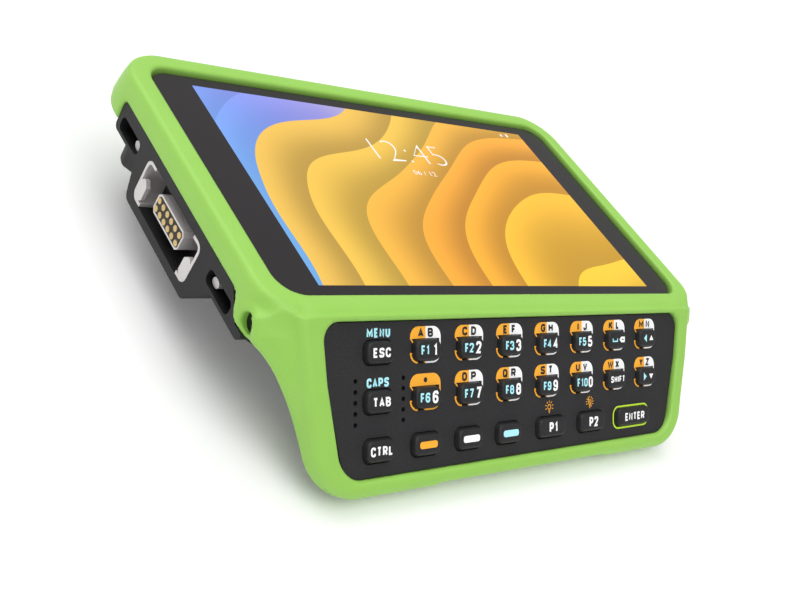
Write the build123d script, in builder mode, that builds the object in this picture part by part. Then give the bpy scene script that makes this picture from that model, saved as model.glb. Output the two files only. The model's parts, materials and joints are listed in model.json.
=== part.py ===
"""Wrist-worn barcode data terminal: a 4 inch screen lying level and a keypad wing that slopes away from it.

Frame: millimetres, +Z up out of the screen, +Y towards the top edge of the screen, +X to the right.
The origin is the middle of the footprint, on the surface that the terminal's back rests on.
Heights marked "from the glass" are measured from the outer face of the cover glass, and places
marked "from the picture" from the middle of the picture. On the wing, u runs across, v down the
slope from the top of the keypad panel, and n straight out of the panel.
"""
import os
from math import cos, radians, sin

from build123d import *

os.makedirs("parts", exist_ok=True)

# ---- overall places ---------------------------------------------------------------------------
screen_z = 22.8          # height of the outer face of the cover glass
wing_angle = 45.0        # slope of the keypad wing, down from the screen

# ---- display ----------------------------------------------------------------------------------
picture_w = 88.55        # 4.0 inch, 16:9
picture_h = 49.8
glass_border_x = 8.125   # glass past the picture, at each side
glass_border_top = 2.65
glass_border_bottom = 2.3
glass_corner_r = 4.2
glass_t = 1.1
glass_edge_round = 0.2
glass_gap = 0.45         # round the glass, in the bumper
module_margin_x = 3.4    # display module past the picture
module_margin_y = 0.9
module_t = 2.3
module_corner_r = 0.7
gasket_t = 0.25
gasket_w = 1.0

# ---- bumper -----------------------------------------------------------------------------------
rim_h = 1.1              # bumper proud of the glass
bumper_side_w = 5.9      # past the glass, at each side
bumper_top_w = 5.65
bumper_bottom_w = 4.4
frame_corner_r = 8.0
frame_round = 2.6        # round of the upper outer edge
frame_depth = 6.5        # below the glass, at the corners
rim_round = 0.9
window_z = -2.7          # bumper's lower edge along each side, from the glass
window_y = (-22.3, 22.0)  # ends of that stretch, from the picture
window_slant_y = -26.6   # its lower end slants down to here, at the corner's depth
window_corner_r = 1.2
wing_top_y = -32.26      # top of the keypad panel, from the picture
wing_top_z = -0.6        # the same, from the glass
wing_lip_h = 0.9         # bumper proud of the keypad panel
wing_depth = 5.2         # bumper below the keypad panel's face
wing_edge_depth = 3.0    # the same at the free edge
wing_wedge_v = 7.0       # where the wing starts to thin
wing_foot = 3.0          # free edge, past the keypad panel
wing_rim_w = (4.6, 4.45, 4.35)  # beside the panel, at the top, at the bend and at the free edge
wing_bend_v = 9.0
wing_bend_r = 30.0
wing_corner_r = 7.0
wing_round = 1.4
wing_start = 1.0         # how far the wing runs up under the screen frame

# ---- keypad -----------------------------------------------------------------------------------
panel_foot = 4.1         # below the middle of the last row of keys
panel_side = (11.4, 10.35, 6.85)  # past the middle of the first keys, at the same three places
panel_top_r = 3.0
panel_corner_r = 4.0
panel_t = 1.2
panel_gap = 0.15
key_rows_v = (4.75, 12.4, 20.0)
key_first_u = -36.4
key_second_u = -25.98
key_pitch_u = 10.37
key_w = 6.1
key_h = 3.8
key_corner_r = 1.3
key_rise = 0.95          # above the panel's face
key_round = 0.35
key_gap = 0.15
key_flange = 0.6         # collar under the panel
key_flange_t = 0.5
key_seat_gap = 0.03      # between the collar and the panel
key_travel = 0.7
bottom_keys = {          # name: (middle u, width)
    "key_orange": (-26.1, 6.3),
    "key_white": (-15.9, 6.3),
    "key_cyan": (-5.8, 6.3),
    "key_p1": (6.0, 8.0),
    "key_p2": (18.1, 8.0),
    "key_enter": (31.6, 11.1),
}
hole_columns_u = (-41.0, -30.9)
hole_first_v = 9.0
hole_pitch_v = 1.68
hole_count = 5
hole_r = 0.4
layer_gap = 0.1          # between the keypad's stacked layers
layer_margin = 1.6       # of those layers, inside the panel's outline
membrane_t = 0.6
dome_r = 1.4
board_t = 0.8
cover_t = 1.2

# ---- chassis and boards -----------------------------------------------------------------------
chassis_t = 0.8
chassis_gap = 0.2        # between the chassis and the bumper
mainboard_z = -7.2       # upper face, from the glass
mainboard_t = 1.2
mainboard_margin_x = 2.15  # inside the housing's walls
mainboard_margin_y = 3.0
mainboard_corner_r = 0.7
standoff_r = 2.2

# ---- rear housing -----------------------------------------------------------------------------
strip_inset = 1.0        # side strips, inside the screen frame
strip_z = -8.3           # lower edge of the side strips, from the glass
strip_end_y = -28.6      # lower end of the strips, under the bumper's corner
strip_end_r = 1.0
shell_wall = 1.8
shell_gap = 0.15         # between the housing and the bumper
deck_z = -10.9           # floor over the battery bay, upper face, from the glass
deck_t = 1.4
case_corner_r = 6.0      # of the case round the boards, seen from below
case_edge_r = 1.2
heel_z = -16.8           # the case is this deep at its upper end, from the glass
heel_y = (9.5, 22.0)     # where it slopes down to that depth
heel_bend_r = 4.0
heel_end_r = 3.0
hump_half_w = 42.0       # hump that holds the battery
hump_bottom_y = -19.0
hump_corner_r = 7.0
hump_edge_r = 2.5

# ---- battery ----------------------------------------------------------------------------------
bay_side_w = 14.0        # housing beside the battery
bay_front_w = 4.25       # housing in front of the battery
battery_shoulder_y = 18.0  # where its end steps in at both sides
battery_shoulder_w = 4.0
battery_gap = 0.25
battery_lift = 0.4       # above the resting surface
battery_corner_r = 2.0
rail_w = 1.6
rail_t = 1.6
battery_pad_count = 5
battery_pad_pitch = 3.0
battery_pad_w = 1.6
battery_pad_t = 0.15
battery_pin_r = 0.5
battery_pin_gap = 0.05   # round a pin, and between its tip and the battery
lock_w = 8.0
lock_l = 6.0
lock_t = 1.4             # of the plate inside the housing
lock_grip_t = 1.2        # of the grip below it
lock_grip_margin = 1.0   # grip inside the plate's outline
lock_travel = 2.0
lock_gap = 0.15
lock_nose_w = 5.0

# ---- docking sockets in the sides -------------------------------------------------------------
bulge_z = -14.6          # lowest face of the bulge, from the glass
bulge_y = (-18.5, 12.6)  # at the side strip, from the picture
bulge_low_y = (-13.4, 10.6)
bulge_corner_r = 1.6
socket_y = (-12.3, 9.3)
socket_z = (-12.9, -4.6)
socket_corner_r = 1.6
socket_depth = 5.0
socket_back = 1.7        # wall behind a socket
liner_wall = 0.6
liner_gap = 0.05
liner_claw_y = 3.0       # width of each claw plate
liner_claw_z = 4.9       # height of each claw plate
liner_claw_t = 0.8
liner_claw_chamfer = 0.9
liner_setback = 0.9      # front edge of the liner's long upper side
block_y = (-7.0, 3.2)
block_z = (-10.65, -6.75)
block_chamfer = 0.7
contact_pitch = 1.63
contact_r = 0.55
contact_rows = 2
contact_columns = 6
contact_rise = 0.15
contact_l = 2.0
contact_face = 0.3       # face of the block, inside the side strip
collar_wall = 0.35
slot_y = ((12.8, 20.6), (-24.0, -16.1))
slot_z = (-7.65, -5.0)
slot_depth = 4.6
slot_corner_r = 1.0
post_y = (14.5, -17.8)
post_w = 2.0
post_h = 1.5
post_recess = 0.8        # face of a post, inside the side strip
post_drop = 0.3          # below the middle of its slot

# ---- fasteners --------------------------------------------------------------------------------
side_screw_y = -28.4     # from the picture
side_screw_z = -4.3      # from the glass
side_screw_sink = 2.2    # face of the screw head, inside the screen frame
side_screw_head_r = 1.7
side_screw_head_t = 1.4
side_screw_shank_r = 0.9
side_screw_length = 4.0
rear_screw_r = 1.9
rear_screw_head_t = 1.2
rear_screw_shank_r = 0.9
rear_screw_sink = 0.8
rear_screw_inset = 5.5   # inside the hump
rear_screw_y = (-12.0, 8.0)    # from the picture
screw_gap = 0.05
drive_r = 0.75
drive_depth = 0.7
standoff_thread = 1.8    # how far a rear screw goes into the chassis

# ---- small inner pieces -----------------------------------------------------------------------
speaker_u = -41.7
speaker_w = 2.8
microphone_u = -31.15
microphone_w = 2.4
sounder_l = 9.2
sounder_t = 1.1
motor_r = 4.0
motor_t = 2.1
motor_round = 0.35
motor_x = 30.0
motor_y = 12.0           # from the picture
flex_w = 16.0
flex_t = 0.3
flex_window_v = (1.7, 4.2)
flex_slot_z = (-7.7, -5.9)     # from the glass
flex_path_y = (-28.9, -26.0, -21.5)   # from the picture
flex_path_z = (-6.3, -7.05)    # from the glass

# ---- values that follow -----------------------------------------------------------------------
slope = radians(wing_angle)
glass_half_w = picture_w / 2 + glass_border_x
glass_top = picture_h / 2 + glass_border_top
glass_bottom = -picture_h / 2 - glass_border_bottom
frame_half_w = glass_half_w + bumper_side_w
frame_top = glass_top + bumper_top_w
frame_bottom = glass_bottom - bumper_bottom_w
strip_half_w = frame_half_w - strip_inset
shell_y = (glass_bottom - glass_gap + shell_gap, glass_top + glass_gap - shell_gap)
shell_corner_r = glass_corner_r + glass_gap - shell_gap
shell_inner_half_w = strip_half_w - socket_depth - socket_back
case_half_w = shell_inner_half_w + shell_wall
case_z = deck_z - deck_t
hump_y = (hump_bottom_y, shell_y[1])
battery_front_y = hump_bottom_y + bay_front_w
battery_half_w = hump_half_w - bay_side_w
rear_screw_x = hump_half_w - rear_screw_inset
side_screw_face = frame_half_w - side_screw_sink
panel_half_w = tuple(side - key_first_u for side in panel_side)
wing_half_w = tuple(w + rim for w, rim in zip(panel_half_w, wing_rim_w))
panel_length = key_rows_v[-1] + panel_foot
wing_length = panel_length + wing_foot
panel_axis = (0.0, -sin(slope), cos(slope))
footprint_top = frame_top
footprint_bottom = (
    wing_top_y
    - (wing_length - wing_round) * cos(slope)
    - (wing_lip_h - wing_round) * sin(slope)
    - wing_round
)
display_y = -(footprint_top + footprint_bottom) / 2
glass_mid_y = display_y + (glass_top + glass_bottom) / 2
glass_h = glass_top - glass_bottom
frame_mid_y = display_y + (frame_top + frame_bottom) / 2
frame_h = frame_top - frame_bottom
panel_plane = Plane(
    origin=(0, display_y + wing_top_y, screen_z + wing_top_z),
    x_dir=(1, 0, 0),
    z_dir=panel_axis,
)
glass_plane = Plane.XY.offset(screen_z)
module_w = picture_w + 2 * module_margin_x
module_h = picture_h + 2 * module_margin_y
module_top = screen_z - glass_t
module_bottom = module_top - module_t
chassis_bottom = module_bottom - chassis_t
chassis_ledge = screen_z - glass_t - gasket_t
mainboard_top = screen_z + mainboard_z
deck_top = screen_z + deck_z
bay_ceiling = deck_top - deck_t
membrane_n = -panel_t - key_flange_t - key_travel - layer_gap
board_n = membrane_n - membrane_t - layer_gap
cover_n = board_n - board_t - layer_gap
bay_wall_x = battery_half_w + battery_gap
lock_wall_x = bay_wall_x + shell_wall
lock_tip_x = bay_wall_x + lock_gap
lock_plate_x = lock_wall_x + lock_travel + lock_gap
lock_nose_l = lock_plate_x - lock_tip_x
lock_nose_mid = lock_tip_x + lock_nose_l / 2
lock_mid = lock_plate_x + lock_l / 2
lock_room_l = lock_l + lock_travel + 2 * lock_gap
lock_room_mid = lock_wall_x + lock_room_l / 2
lock_y = battery_shoulder_y + battery_gap + lock_nose_w / 2
battery_pin_y = display_y + battery_front_y + battery_pad_pitch
battery_pin_places = [
    ((column - (battery_pad_count - 1) / 2) * battery_pad_pitch, battery_pin_y)
    for column in range(battery_pad_count)
]
keypad_radii = (panel_top_r, wing_bend_r, panel_corner_r, panel_corner_r, wing_bend_r, panel_top_r)
wing_radii = (0.0, wing_bend_r, wing_corner_r, wing_corner_r, wing_bend_r, 0.0)


def finish(piece, label):
    """Name a finished piece and write its file."""
    piece.part.label = label
    export_step(piece.part, f"parts/{label}.step")


def wing_line(half_w, length, radii, start=0.0, grow=0.0):
    """Outline on the slope: wide at the top, bent at the sides, narrower at the free edge."""
    wide, middle, narrow = (w + grow for w in half_w)
    right = [(wide, start + grow), (middle, -wing_bend_v), (narrow, -length - grow)]
    points = right + [(-x, y) for x, y in reversed(right)]
    corners = [max(r + grow, 0.0) if r else 0.0 for r in radii]
    return FilletPolyline(*points, radius=corners, close=True)


def slope_yz(v, n):
    """Place of a point on the wing, as y and z of the part."""
    y = display_y + wing_top_y - v * cos(slope) - n * sin(slope)
    z = screen_z + wing_top_z - v * sin(slope) + n * cos(slope)
    return (y, z)


def span(pair):
    """Length and middle of a stretch given by its two ends."""
    return pair[1] - pair[0], (pair[0] + pair[1]) / 2


def side_plane(x):
    """Plane across the part at x, with the part's Y and Z as its own, seen from the right."""
    return Plane(origin=(x, display_y, screen_z), x_dir=(0, 1, 0), z_dir=(1, 0, 0))


# ---- bumper: one soft moulding round the screen and the keypad --------------------------------
with BuildPart() as wing_slab:
    with BuildSketch(panel_plane.offset(wing_lip_h)):
        with BuildLine():
            wing_line(wing_half_w, wing_length, wing_radii, start=wing_start)
        make_face()
    extrude(amount=-(wing_lip_h + wing_depth))
    lip_top = wing_slab.faces().filter_by(lambda f: f.normal_at().dot(Vector(panel_axis)) > 0.99)
    fillet(lip_top.edges().filter_by(lambda e: e.center().Z < screen_z + wing_top_z), wing_round)

with BuildPart() as bumper:
    with BuildSketch(glass_plane.offset(rim_h)):
        with Locations((0, frame_mid_y)):
            RectangleRounded(2 * frame_half_w, frame_h, frame_corner_r)
    extrude(amount=-(rim_h + frame_depth))
    fillet(bumper.faces().sort_by(Axis.Z)[-1].edges(), frame_round)
    add(wing_slab.part)
    # thin towards the free edge, seen from the side
    with BuildSketch(Plane.YZ.offset(frame_half_w)):
        with BuildLine():
            Polyline(
                slope_yz(wing_wedge_v, -wing_depth),
                slope_yz(wing_length + wing_depth, -wing_edge_depth),
                slope_yz(wing_length + wing_depth, -2 * wing_depth),
                slope_yz(wing_wedge_v, -2 * wing_depth),
                close=True,
            )
        make_face()
    extrude(amount=-2 * frame_half_w, mode=Mode.SUBTRACT)
    # pocket of the glass, right through
    with BuildSketch(glass_plane.offset(rim_h)):
        with Locations((0, glass_mid_y)):
            RectangleRounded(
                2 * (glass_half_w + glass_gap), glass_h + 2 * glass_gap, glass_corner_r + glass_gap
            )
    extrude(amount=-(rim_h + frame_depth), mode=Mode.SUBTRACT)
    rim = bumper.faces().filter_by(Axis.Z).sort_by(Axis.Z)[-1]
    fillet(rim.inner_wires().edges(), rim_round)
    # opening of the keypad panel, right through
    with BuildSketch(panel_plane.offset(2 * wing_depth)):
        with BuildLine():
            wing_line(panel_half_w, panel_length, keypad_radii, grow=panel_gap)
        make_face()
    extrude(amount=-4 * wing_depth, mode=Mode.SUBTRACT)
    # low sides, where the rear housing's strips show
    with BuildSketch(side_plane(frame_half_w)):
        with BuildLine():
            FilletPolyline(
                (window_y[1], -2 * frame_depth),
                (window_y[1], window_z),
                (window_y[0], window_z),
                (window_slant_y, -frame_depth),
                (window_slant_y, -2 * frame_depth),
                radius=(0, window_corner_r, window_corner_r, window_corner_r, 0),
                close=True,
            )
        make_face()
    extrude(amount=-2 * frame_half_w, mode=Mode.SUBTRACT)
    # sunk seats of the side screws
    for side in (-1, 1):
        with BuildSketch(side_plane(side * frame_half_w)):
            with Locations((side_screw_y, side_screw_z)):
                Circle(side_screw_head_r + screw_gap)
        extrude(amount=-side * (frame_half_w - side_screw_face + side_screw_head_t), mode=Mode.SUBTRACT)
        with BuildSketch(side_plane(side * frame_half_w)):
            with Locations((side_screw_y, side_screw_z)):
                Circle(side_screw_shank_r + screw_gap)
        extrude(amount=-side * 2 * side_screw_length, mode=Mode.SUBTRACT)
finish(bumper, "bumper")

# ---- display stack: cover glass, its gasket and the display module ----------------------------
with BuildPart() as cover_glass:
    with BuildSketch(glass_plane):
        with Locations((0, glass_mid_y)):
            RectangleRounded(2 * glass_half_w, glass_h, glass_corner_r)
    extrude(amount=-glass_t)
    fillet(cover_glass.faces().sort_by(Axis.Z)[-1].edges(), glass_edge_round)
finish(cover_glass, "cover_glass")

with BuildPart() as glass_gasket:
    with BuildSketch(glass_plane.offset(-glass_t)):
        with Locations((0, glass_mid_y)):
            RectangleRounded(2 * glass_half_w, glass_h, glass_corner_r)
            RectangleRounded(
                2 * (glass_half_w - gasket_w), glass_h - 2 * gasket_w, glass_corner_r - gasket_w,
                mode=Mode.SUBTRACT,
            )
    extrude(amount=-gasket_t)
finish(glass_gasket, "glass_gasket")

with BuildPart() as display_module:
    with BuildSketch(Plane.XY.offset(module_top)):
        with Locations((0, display_y)):
            Rectangle(module_w, module_h)
    extrude(amount=-module_t)
    fillet(display_module.edges().filter_by(Axis.Z), module_corner_r)
finish(display_module, "display_module")

# ---- chassis: metal tray that carries the display and the main board --------------------------
chassis_w = 2 * (glass_half_w + glass_gap - chassis_gap)
chassis_h = glass_h + 2 * (glass_gap - chassis_gap)
standoff_places = [
    (side * rear_screw_x, display_y + y) for side in (-1, 1) for y in rear_screw_y
]
with BuildPart() as chassis:
    with BuildSketch(Plane.XY.offset(chassis_ledge)):
        with Locations((0, glass_mid_y)):
            RectangleRounded(chassis_w, chassis_h, glass_corner_r)
    extrude(amount=-(chassis_ledge - chassis_bottom))
    with BuildSketch(Plane.XY.offset(chassis_ledge)):
        with Locations((0, display_y)):
            Rectangle(module_w + 2 * layer_gap, module_h + 2 * layer_gap)
    extrude(amount=-(chassis_ledge - module_bottom), mode=Mode.SUBTRACT)
    with BuildSketch(Plane.XY.offset(chassis_bottom)):
        with Locations(*standoff_places):
            Circle(standoff_r)
    extrude(amount=-(chassis_bottom - mainboard_top))
    with BuildSketch(Plane.XY.offset(mainboard_top)):
        with Locations(*standoff_places):
            Circle(rear_screw_shank_r + screw_gap)
    extrude(amount=standoff_thread + screw_gap, mode=Mode.SUBTRACT)
finish(chassis, "chassis")

# ---- main board -------------------------------------------------------------------------------
board_w = 2 * (shell_inner_half_w - mainboard_margin_x)
shell_h, shell_mid = span(shell_y)
with BuildPart() as main_board:
    with BuildSketch(Plane.XY.offset(mainboard_top)):
        with Locations((0, display_y + shell_mid)):
            RectangleRounded(board_w, shell_h - 2 * (shell_wall + mainboard_margin_y), mainboard_corner_r)
        with Locations(*standoff_places):
            Circle(rear_screw_shank_r + 2 * screw_gap, mode=Mode.SUBTRACT)
    extrude(amount=-mainboard_t)
finish(main_board, "main_board")

# ---- keypad panel -----------------------------------------------------------------------------
keys = {
    "key_esc": (key_first_u, key_rows_v[0], key_w),
    "key_tab": (key_first_u, key_rows_v[1], key_w),
    "key_ctrl": (key_first_u, key_rows_v[2], key_w),
}
row_names = (
    ("key_1", "key_2", "key_3", "key_4", "key_5", "key_space", "key_left_up"),
    ("key_6", "key_7", "key_8", "key_9", "key_0", "key_shift", "key_right_down"),
)
for row_v, names in zip(key_rows_v, row_names):
    for column, name in enumerate(names):
        keys[name] = (key_second_u + column * key_pitch_u, row_v, key_w)
for name, (middle_u, width) in bottom_keys.items():
    keys[name] = (middle_u, key_rows_v[2], width)

with BuildPart() as keypad_panel:
    with BuildSketch(panel_plane):
        with BuildLine():
            wing_line(panel_half_w, panel_length, keypad_radii)
        make_face()
        for u, v, width in keys.values():
            with Locations((u, -v)):
                RectangleRounded(
                    width + 2 * key_gap, key_h + 2 * key_gap, key_corner_r + key_gap, mode=Mode.SUBTRACT
                )
        for column_u in hole_columns_u:
            for row in range(hole_count):
                with Locations((column_u, -hole_first_v - row * hole_pitch_v)):
                    Circle(hole_r, mode=Mode.SUBTRACT)
    extrude(amount=-panel_t)
finish(keypad_panel, "keypad_panel")

# ---- keys: each cap slides in its hole and is held under the panel by a collar ------------------
for name, (u, v, width) in keys.items():
    with BuildPart() as key:
        with BuildSketch(panel_plane.offset(key_rise)):
            with Locations((u, -v)):
                RectangleRounded(width, key_h, key_corner_r)
        extrude(amount=-(key_rise + panel_t + key_flange_t))
        top = key.faces().filter_by(lambda f: f.normal_at().dot(Vector(panel_axis)) > 0.99)
        fillet(top.edges(), key_round)
        with BuildSketch(panel_plane.offset(-panel_t - key_seat_gap)):
            with Locations((u, -v)):
                RectangleRounded(
                    width + 2 * key_flange, key_h + 2 * key_flange, key_corner_r + key_flange
                )
        extrude(amount=-key_flange_t + key_seat_gap)
    finish(key, name)

# ---- layers under the keypad panel ------------------------------------------------------------
with BuildPart() as keypad_membrane:
    with BuildSketch(panel_plane.offset(membrane_n)):
        with BuildLine():
            wing_line(panel_half_w, panel_length, keypad_radii, grow=-layer_margin)
        make_face()
    extrude(amount=-membrane_t)
finish(keypad_membrane, "keypad_membrane")

with BuildPart() as dome_contacts:
    with BuildSketch(panel_plane.offset(membrane_n - membrane_t)):
        with Locations(*[(u, -v) for u, v, _ in keys.values()]):
            Circle(dome_r)
    extrude(amount=-layer_gap)
finish(dome_contacts, "dome_contacts")

with BuildPart() as keypad_board:
    with BuildSketch(panel_plane.offset(board_n)):
        with BuildLine():
            wing_line(panel_half_w, panel_length, keypad_radii, grow=-layer_margin)
        make_face()
    extrude(amount=-board_t)
finish(keypad_board, "keypad_board")

window_l, window_v = span(flex_window_v)
with BuildPart() as keypad_cover:
    with BuildSketch(panel_plane.offset(-panel_t)):
        with BuildLine():
            wing_line(panel_half_w, panel_length, keypad_radii)
        make_face()
    extrude(amount=cover_n - cover_t + panel_t)
    underside = keypad_cover.faces().filter_by(lambda f: f.normal_at().dot(Vector(panel_axis)) < -0.99)
    chamfer(underside.edges(), cover_t / 2)
    with BuildSketch(panel_plane.offset(-panel_t)):
        with BuildLine():
            wing_line(panel_half_w, panel_length, keypad_radii, grow=layer_gap - layer_margin)
        make_face()
    extrude(amount=cover_n + panel_t, mode=Mode.SUBTRACT)
    with BuildSketch(panel_plane.offset(cover_n)):
        with Locations((0, -window_v)):
            Rectangle(flex_w + 2 * layer_gap, window_l)
    extrude(amount=-cover_t, mode=Mode.SUBTRACT)
finish(keypad_cover, "keypad_cover")

for name, middle_u, width in (
    ("speaker", speaker_u, speaker_w),
    ("microphone", microphone_u, microphone_w),
):
    with BuildPart() as sounder:
        with BuildSketch(panel_plane.offset(-panel_t)):
            with Locations((middle_u, -hole_first_v - (hole_count - 1) * hole_pitch_v / 2)):
                RectangleRounded(width, sounder_l, width / 4)
        extrude(amount=-sounder_t)
    finish(sounder, name)

with BuildPart() as keypad_flex:
    with BuildSketch(Plane.YZ.offset(flex_w / 2)):
        with BuildLine():
            Polyline(
                slope_yz(flex_window_v[1] - flex_t * 2, board_n - board_t - flex_t / 2),
                slope_yz(flex_window_v[1] - flex_t * 4, board_n - board_t - flex_t / 2),
                (display_y + flex_path_y[0], screen_z + flex_path_z[0]),
                (display_y + flex_path_y[1], screen_z + flex_path_z[1]),
                (display_y + flex_path_y[2], screen_z + flex_path_z[1]),
            )
        trace(line_width=flex_t)
    extrude(amount=-flex_w)
finish(keypad_flex, "keypad_flex")

# ---- rear housing: hard shell with the side strips, the docking sockets and the battery bay ----
shell_top_z = screen_z + window_z - shell_gap
hump_l, hump_mid = span(hump_y)
bay_l = hump_y[1] + hump_corner_r - battery_front_y + battery_gap
rail_z = lock_grip_t + lock_t + shell_wall
lock_plate_z = lock_grip_t + lock_gap
battery_top_z = bay_ceiling - battery_gap
socket_l, socket_mid = span(socket_y)
socket_t, socket_mid_z = span(socket_z)
slot_h, slot_mid_z = span(slot_z)
flex_slot_h, flex_slot_mid = span(flex_slot_z)
with BuildPart() as board_case:
    # seen from the side: shallow under the boards, sloping down to a heel at the upper end
    with BuildSketch(side_plane(case_half_w)):
        with BuildLine():
            FilletPolyline(
                (shell_y[0], strip_z),
                (shell_y[0], case_z),
                (heel_y[0], case_z),
                (heel_y[1], heel_z),
                (shell_y[1], heel_z),
                (shell_y[1], strip_z),
                radius=(0, case_edge_r, heel_bend_r, heel_bend_r, heel_end_r, 0),
                close=True,
            )
        make_face()
    extrude(amount=-2 * case_half_w)
    # seen from below: a rectangle with round corners
    with BuildSketch(Plane.XY):
        with Locations((0, display_y + shell_mid)):
            RectangleRounded(2 * case_half_w, shell_h, case_corner_r)
    extrude(amount=screen_z, mode=Mode.INTERSECT)

with BuildPart() as rear_housing:
    with BuildSketch(Plane.XY.offset(shell_top_z)):
        with Locations((0, display_y + shell_mid)):
            RectangleRounded(
                2 * (glass_half_w + glass_gap - shell_gap), shell_h, shell_corner_r
            )
    extrude(amount=-(shell_top_z - screen_z - strip_z))
    with BuildSketch(side_plane(strip_half_w)):
        with BuildLine():
            FilletPolyline(
                (window_y[1] - shell_gap, strip_z),
                (window_y[1] - shell_gap, window_z - shell_gap),
                (window_y[0] + shell_gap, window_z - shell_gap),
                (window_slant_y + shell_gap, -frame_depth - shell_gap),
                (strip_end_y, -frame_depth - shell_gap),
                (strip_end_y, strip_z),
                radius=(strip_end_r, window_corner_r, window_corner_r, 0, 0, strip_end_r),
                close=True,
            )
        make_face()
    extrude(amount=-2 * strip_half_w)
    add(board_case.part)
    with BuildSketch(Plane.XY):
        with Locations((0, display_y + hump_mid)):
            RectangleRounded(2 * hump_half_w, hump_l, hump_corner_r)
    extrude(amount=screen_z + strip_z)
    fillet(rear_housing.faces().sort_by(Axis.Z)[0].edges(), hump_edge_r)
    # bulges of the docking sockets
    with BuildSketch(side_plane(strip_half_w)):
        with BuildLine():
            FilletPolyline(
                (bulge_y[0], strip_z + bulge_corner_r),
                (bulge_y[0], strip_z),
                (bulge_low_y[0], bulge_z),
                (bulge_low_y[1], bulge_z),
                (bulge_y[1], strip_z),
                (bulge_y[1], strip_z + bulge_corner_r),
                radius=(0, bulge_corner_r / 2, bulge_corner_r, bulge_corner_r, bulge_corner_r / 2, 0),
                close=True,
            )
        make_face()
    extrude(amount=-2 * strip_half_w)
    # seat of the chassis, between the strips
    with BuildSketch(Plane.XY.offset(shell_top_z)):
        with Locations((0, glass_mid_y)):
            RectangleRounded(
                chassis_w + 2 * chassis_gap, chassis_h + 2 * chassis_gap, glass_corner_r + chassis_gap
            )
    extrude(amount=-(shell_top_z - chassis_bottom), mode=Mode.SUBTRACT)
    # room for the boards
    with BuildSketch(Plane.XY.offset(shell_top_z)):
        with Locations((0, display_y + shell_mid)):
            RectangleRounded(
                2 * shell_inner_half_w, shell_h - 2 * shell_wall, shell_corner_r - shell_wall
            )
    extrude(amount=-(shell_top_z - deck_top), mode=Mode.SUBTRACT)
    with BuildSketch(Plane.XY.offset(deck_top)):
        with Locations(*standoff_places):
            Circle(standoff_r)
    extrude(amount=mainboard_top - mainboard_t - deck_top)
    # battery bay, open at the top end, with a groove along each side
    with BuildSketch(Plane.XY):
        with Locations((0, display_y + battery_front_y - battery_gap + bay_l / 2)):
            Rectangle(2 * (battery_half_w + battery_gap), bay_l)
    extrude(amount=bay_ceiling, mode=Mode.SUBTRACT)
    with BuildSketch(Plane.XY.offset(rail_z - battery_gap)):
        with Locations((0, display_y + battery_front_y - battery_gap + bay_l / 2)):
            Rectangle(2 * (battery_half_w + rail_w + battery_gap), bay_l)
    extrude(amount=rail_t + 2 * battery_gap, mode=Mode.SUBTRACT)
    # docking sockets and strap slots, the same on both sides
    for side in (-1, 1):
        with BuildSketch(side_plane(side * strip_half_w)):
            with Locations((socket_mid, socket_mid_z)):
                RectangleRounded(socket_l, socket_t, socket_corner_r)
        extrude(amount=-side * socket_depth, mode=Mode.SUBTRACT)
        with BuildSketch(side_plane(side * strip_half_w)):
            for slot_l, slot_mid in map(span, slot_y):
                with Locations((slot_mid, slot_mid_z)):
                    RectangleRounded(slot_l, slot_h, slot_corner_r)
        extrude(amount=-side * slot_depth, mode=Mode.SUBTRACT)
    # way of the keypad flex through the front wall
    with BuildSketch(Plane.XZ.offset(-display_y - strip_end_y)):
        with Locations((0, screen_z + flex_slot_mid)):
            Rectangle(flex_w + 2 * layer_gap, flex_slot_h)
    extrude(amount=strip_end_y - shell_y[0] - shell_wall, mode=Mode.SUBTRACT)
    # battery pins through the deck
    with BuildSketch(Plane.XY.offset(deck_top)):
        with Locations(*battery_pin_places):
            Circle(battery_pin_r + battery_pin_gap)
    extrude(amount=-deck_t, mode=Mode.SUBTRACT)
    # rear screws
    with BuildSketch(Plane.XY):
        with Locations(*standoff_places):
            Circle(rear_screw_r + screw_gap)
    extrude(amount=rear_screw_sink + rear_screw_head_t, mode=Mode.SUBTRACT)
    with BuildSketch(Plane.XY):
        with Locations(*standoff_places):
            Circle(rear_screw_shank_r + screw_gap)
    extrude(amount=mainboard_top, mode=Mode.SUBTRACT)
    # room of the battery locks: a plate inside and a grip that shows underneath
    for side in (-1, 1):
        with BuildSketch(Plane.XY.offset(lock_grip_t)):
            with Locations((side * lock_room_mid, display_y + lock_y)):
                Rectangle(lock_room_l, lock_w + 2 * lock_gap)
            with Locations((side * (bay_wall_x + shell_wall / 2), display_y + lock_y)):
                Rectangle(shell_wall + 2 * lock_gap, lock_nose_w + 2 * lock_gap)
        extrude(amount=lock_t + 2 * lock_gap, mode=Mode.SUBTRACT)
        with BuildSketch(Plane.XY):
            with Locations((side * lock_room_mid, display_y + lock_y)):
                Rectangle(
                    lock_room_l - 2 * lock_grip_margin, lock_w - 2 * (lock_grip_margin - lock_gap)
                )
        extrude(amount=lock_grip_t, mode=Mode.SUBTRACT)
finish(rear_housing, "rear_housing")

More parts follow.
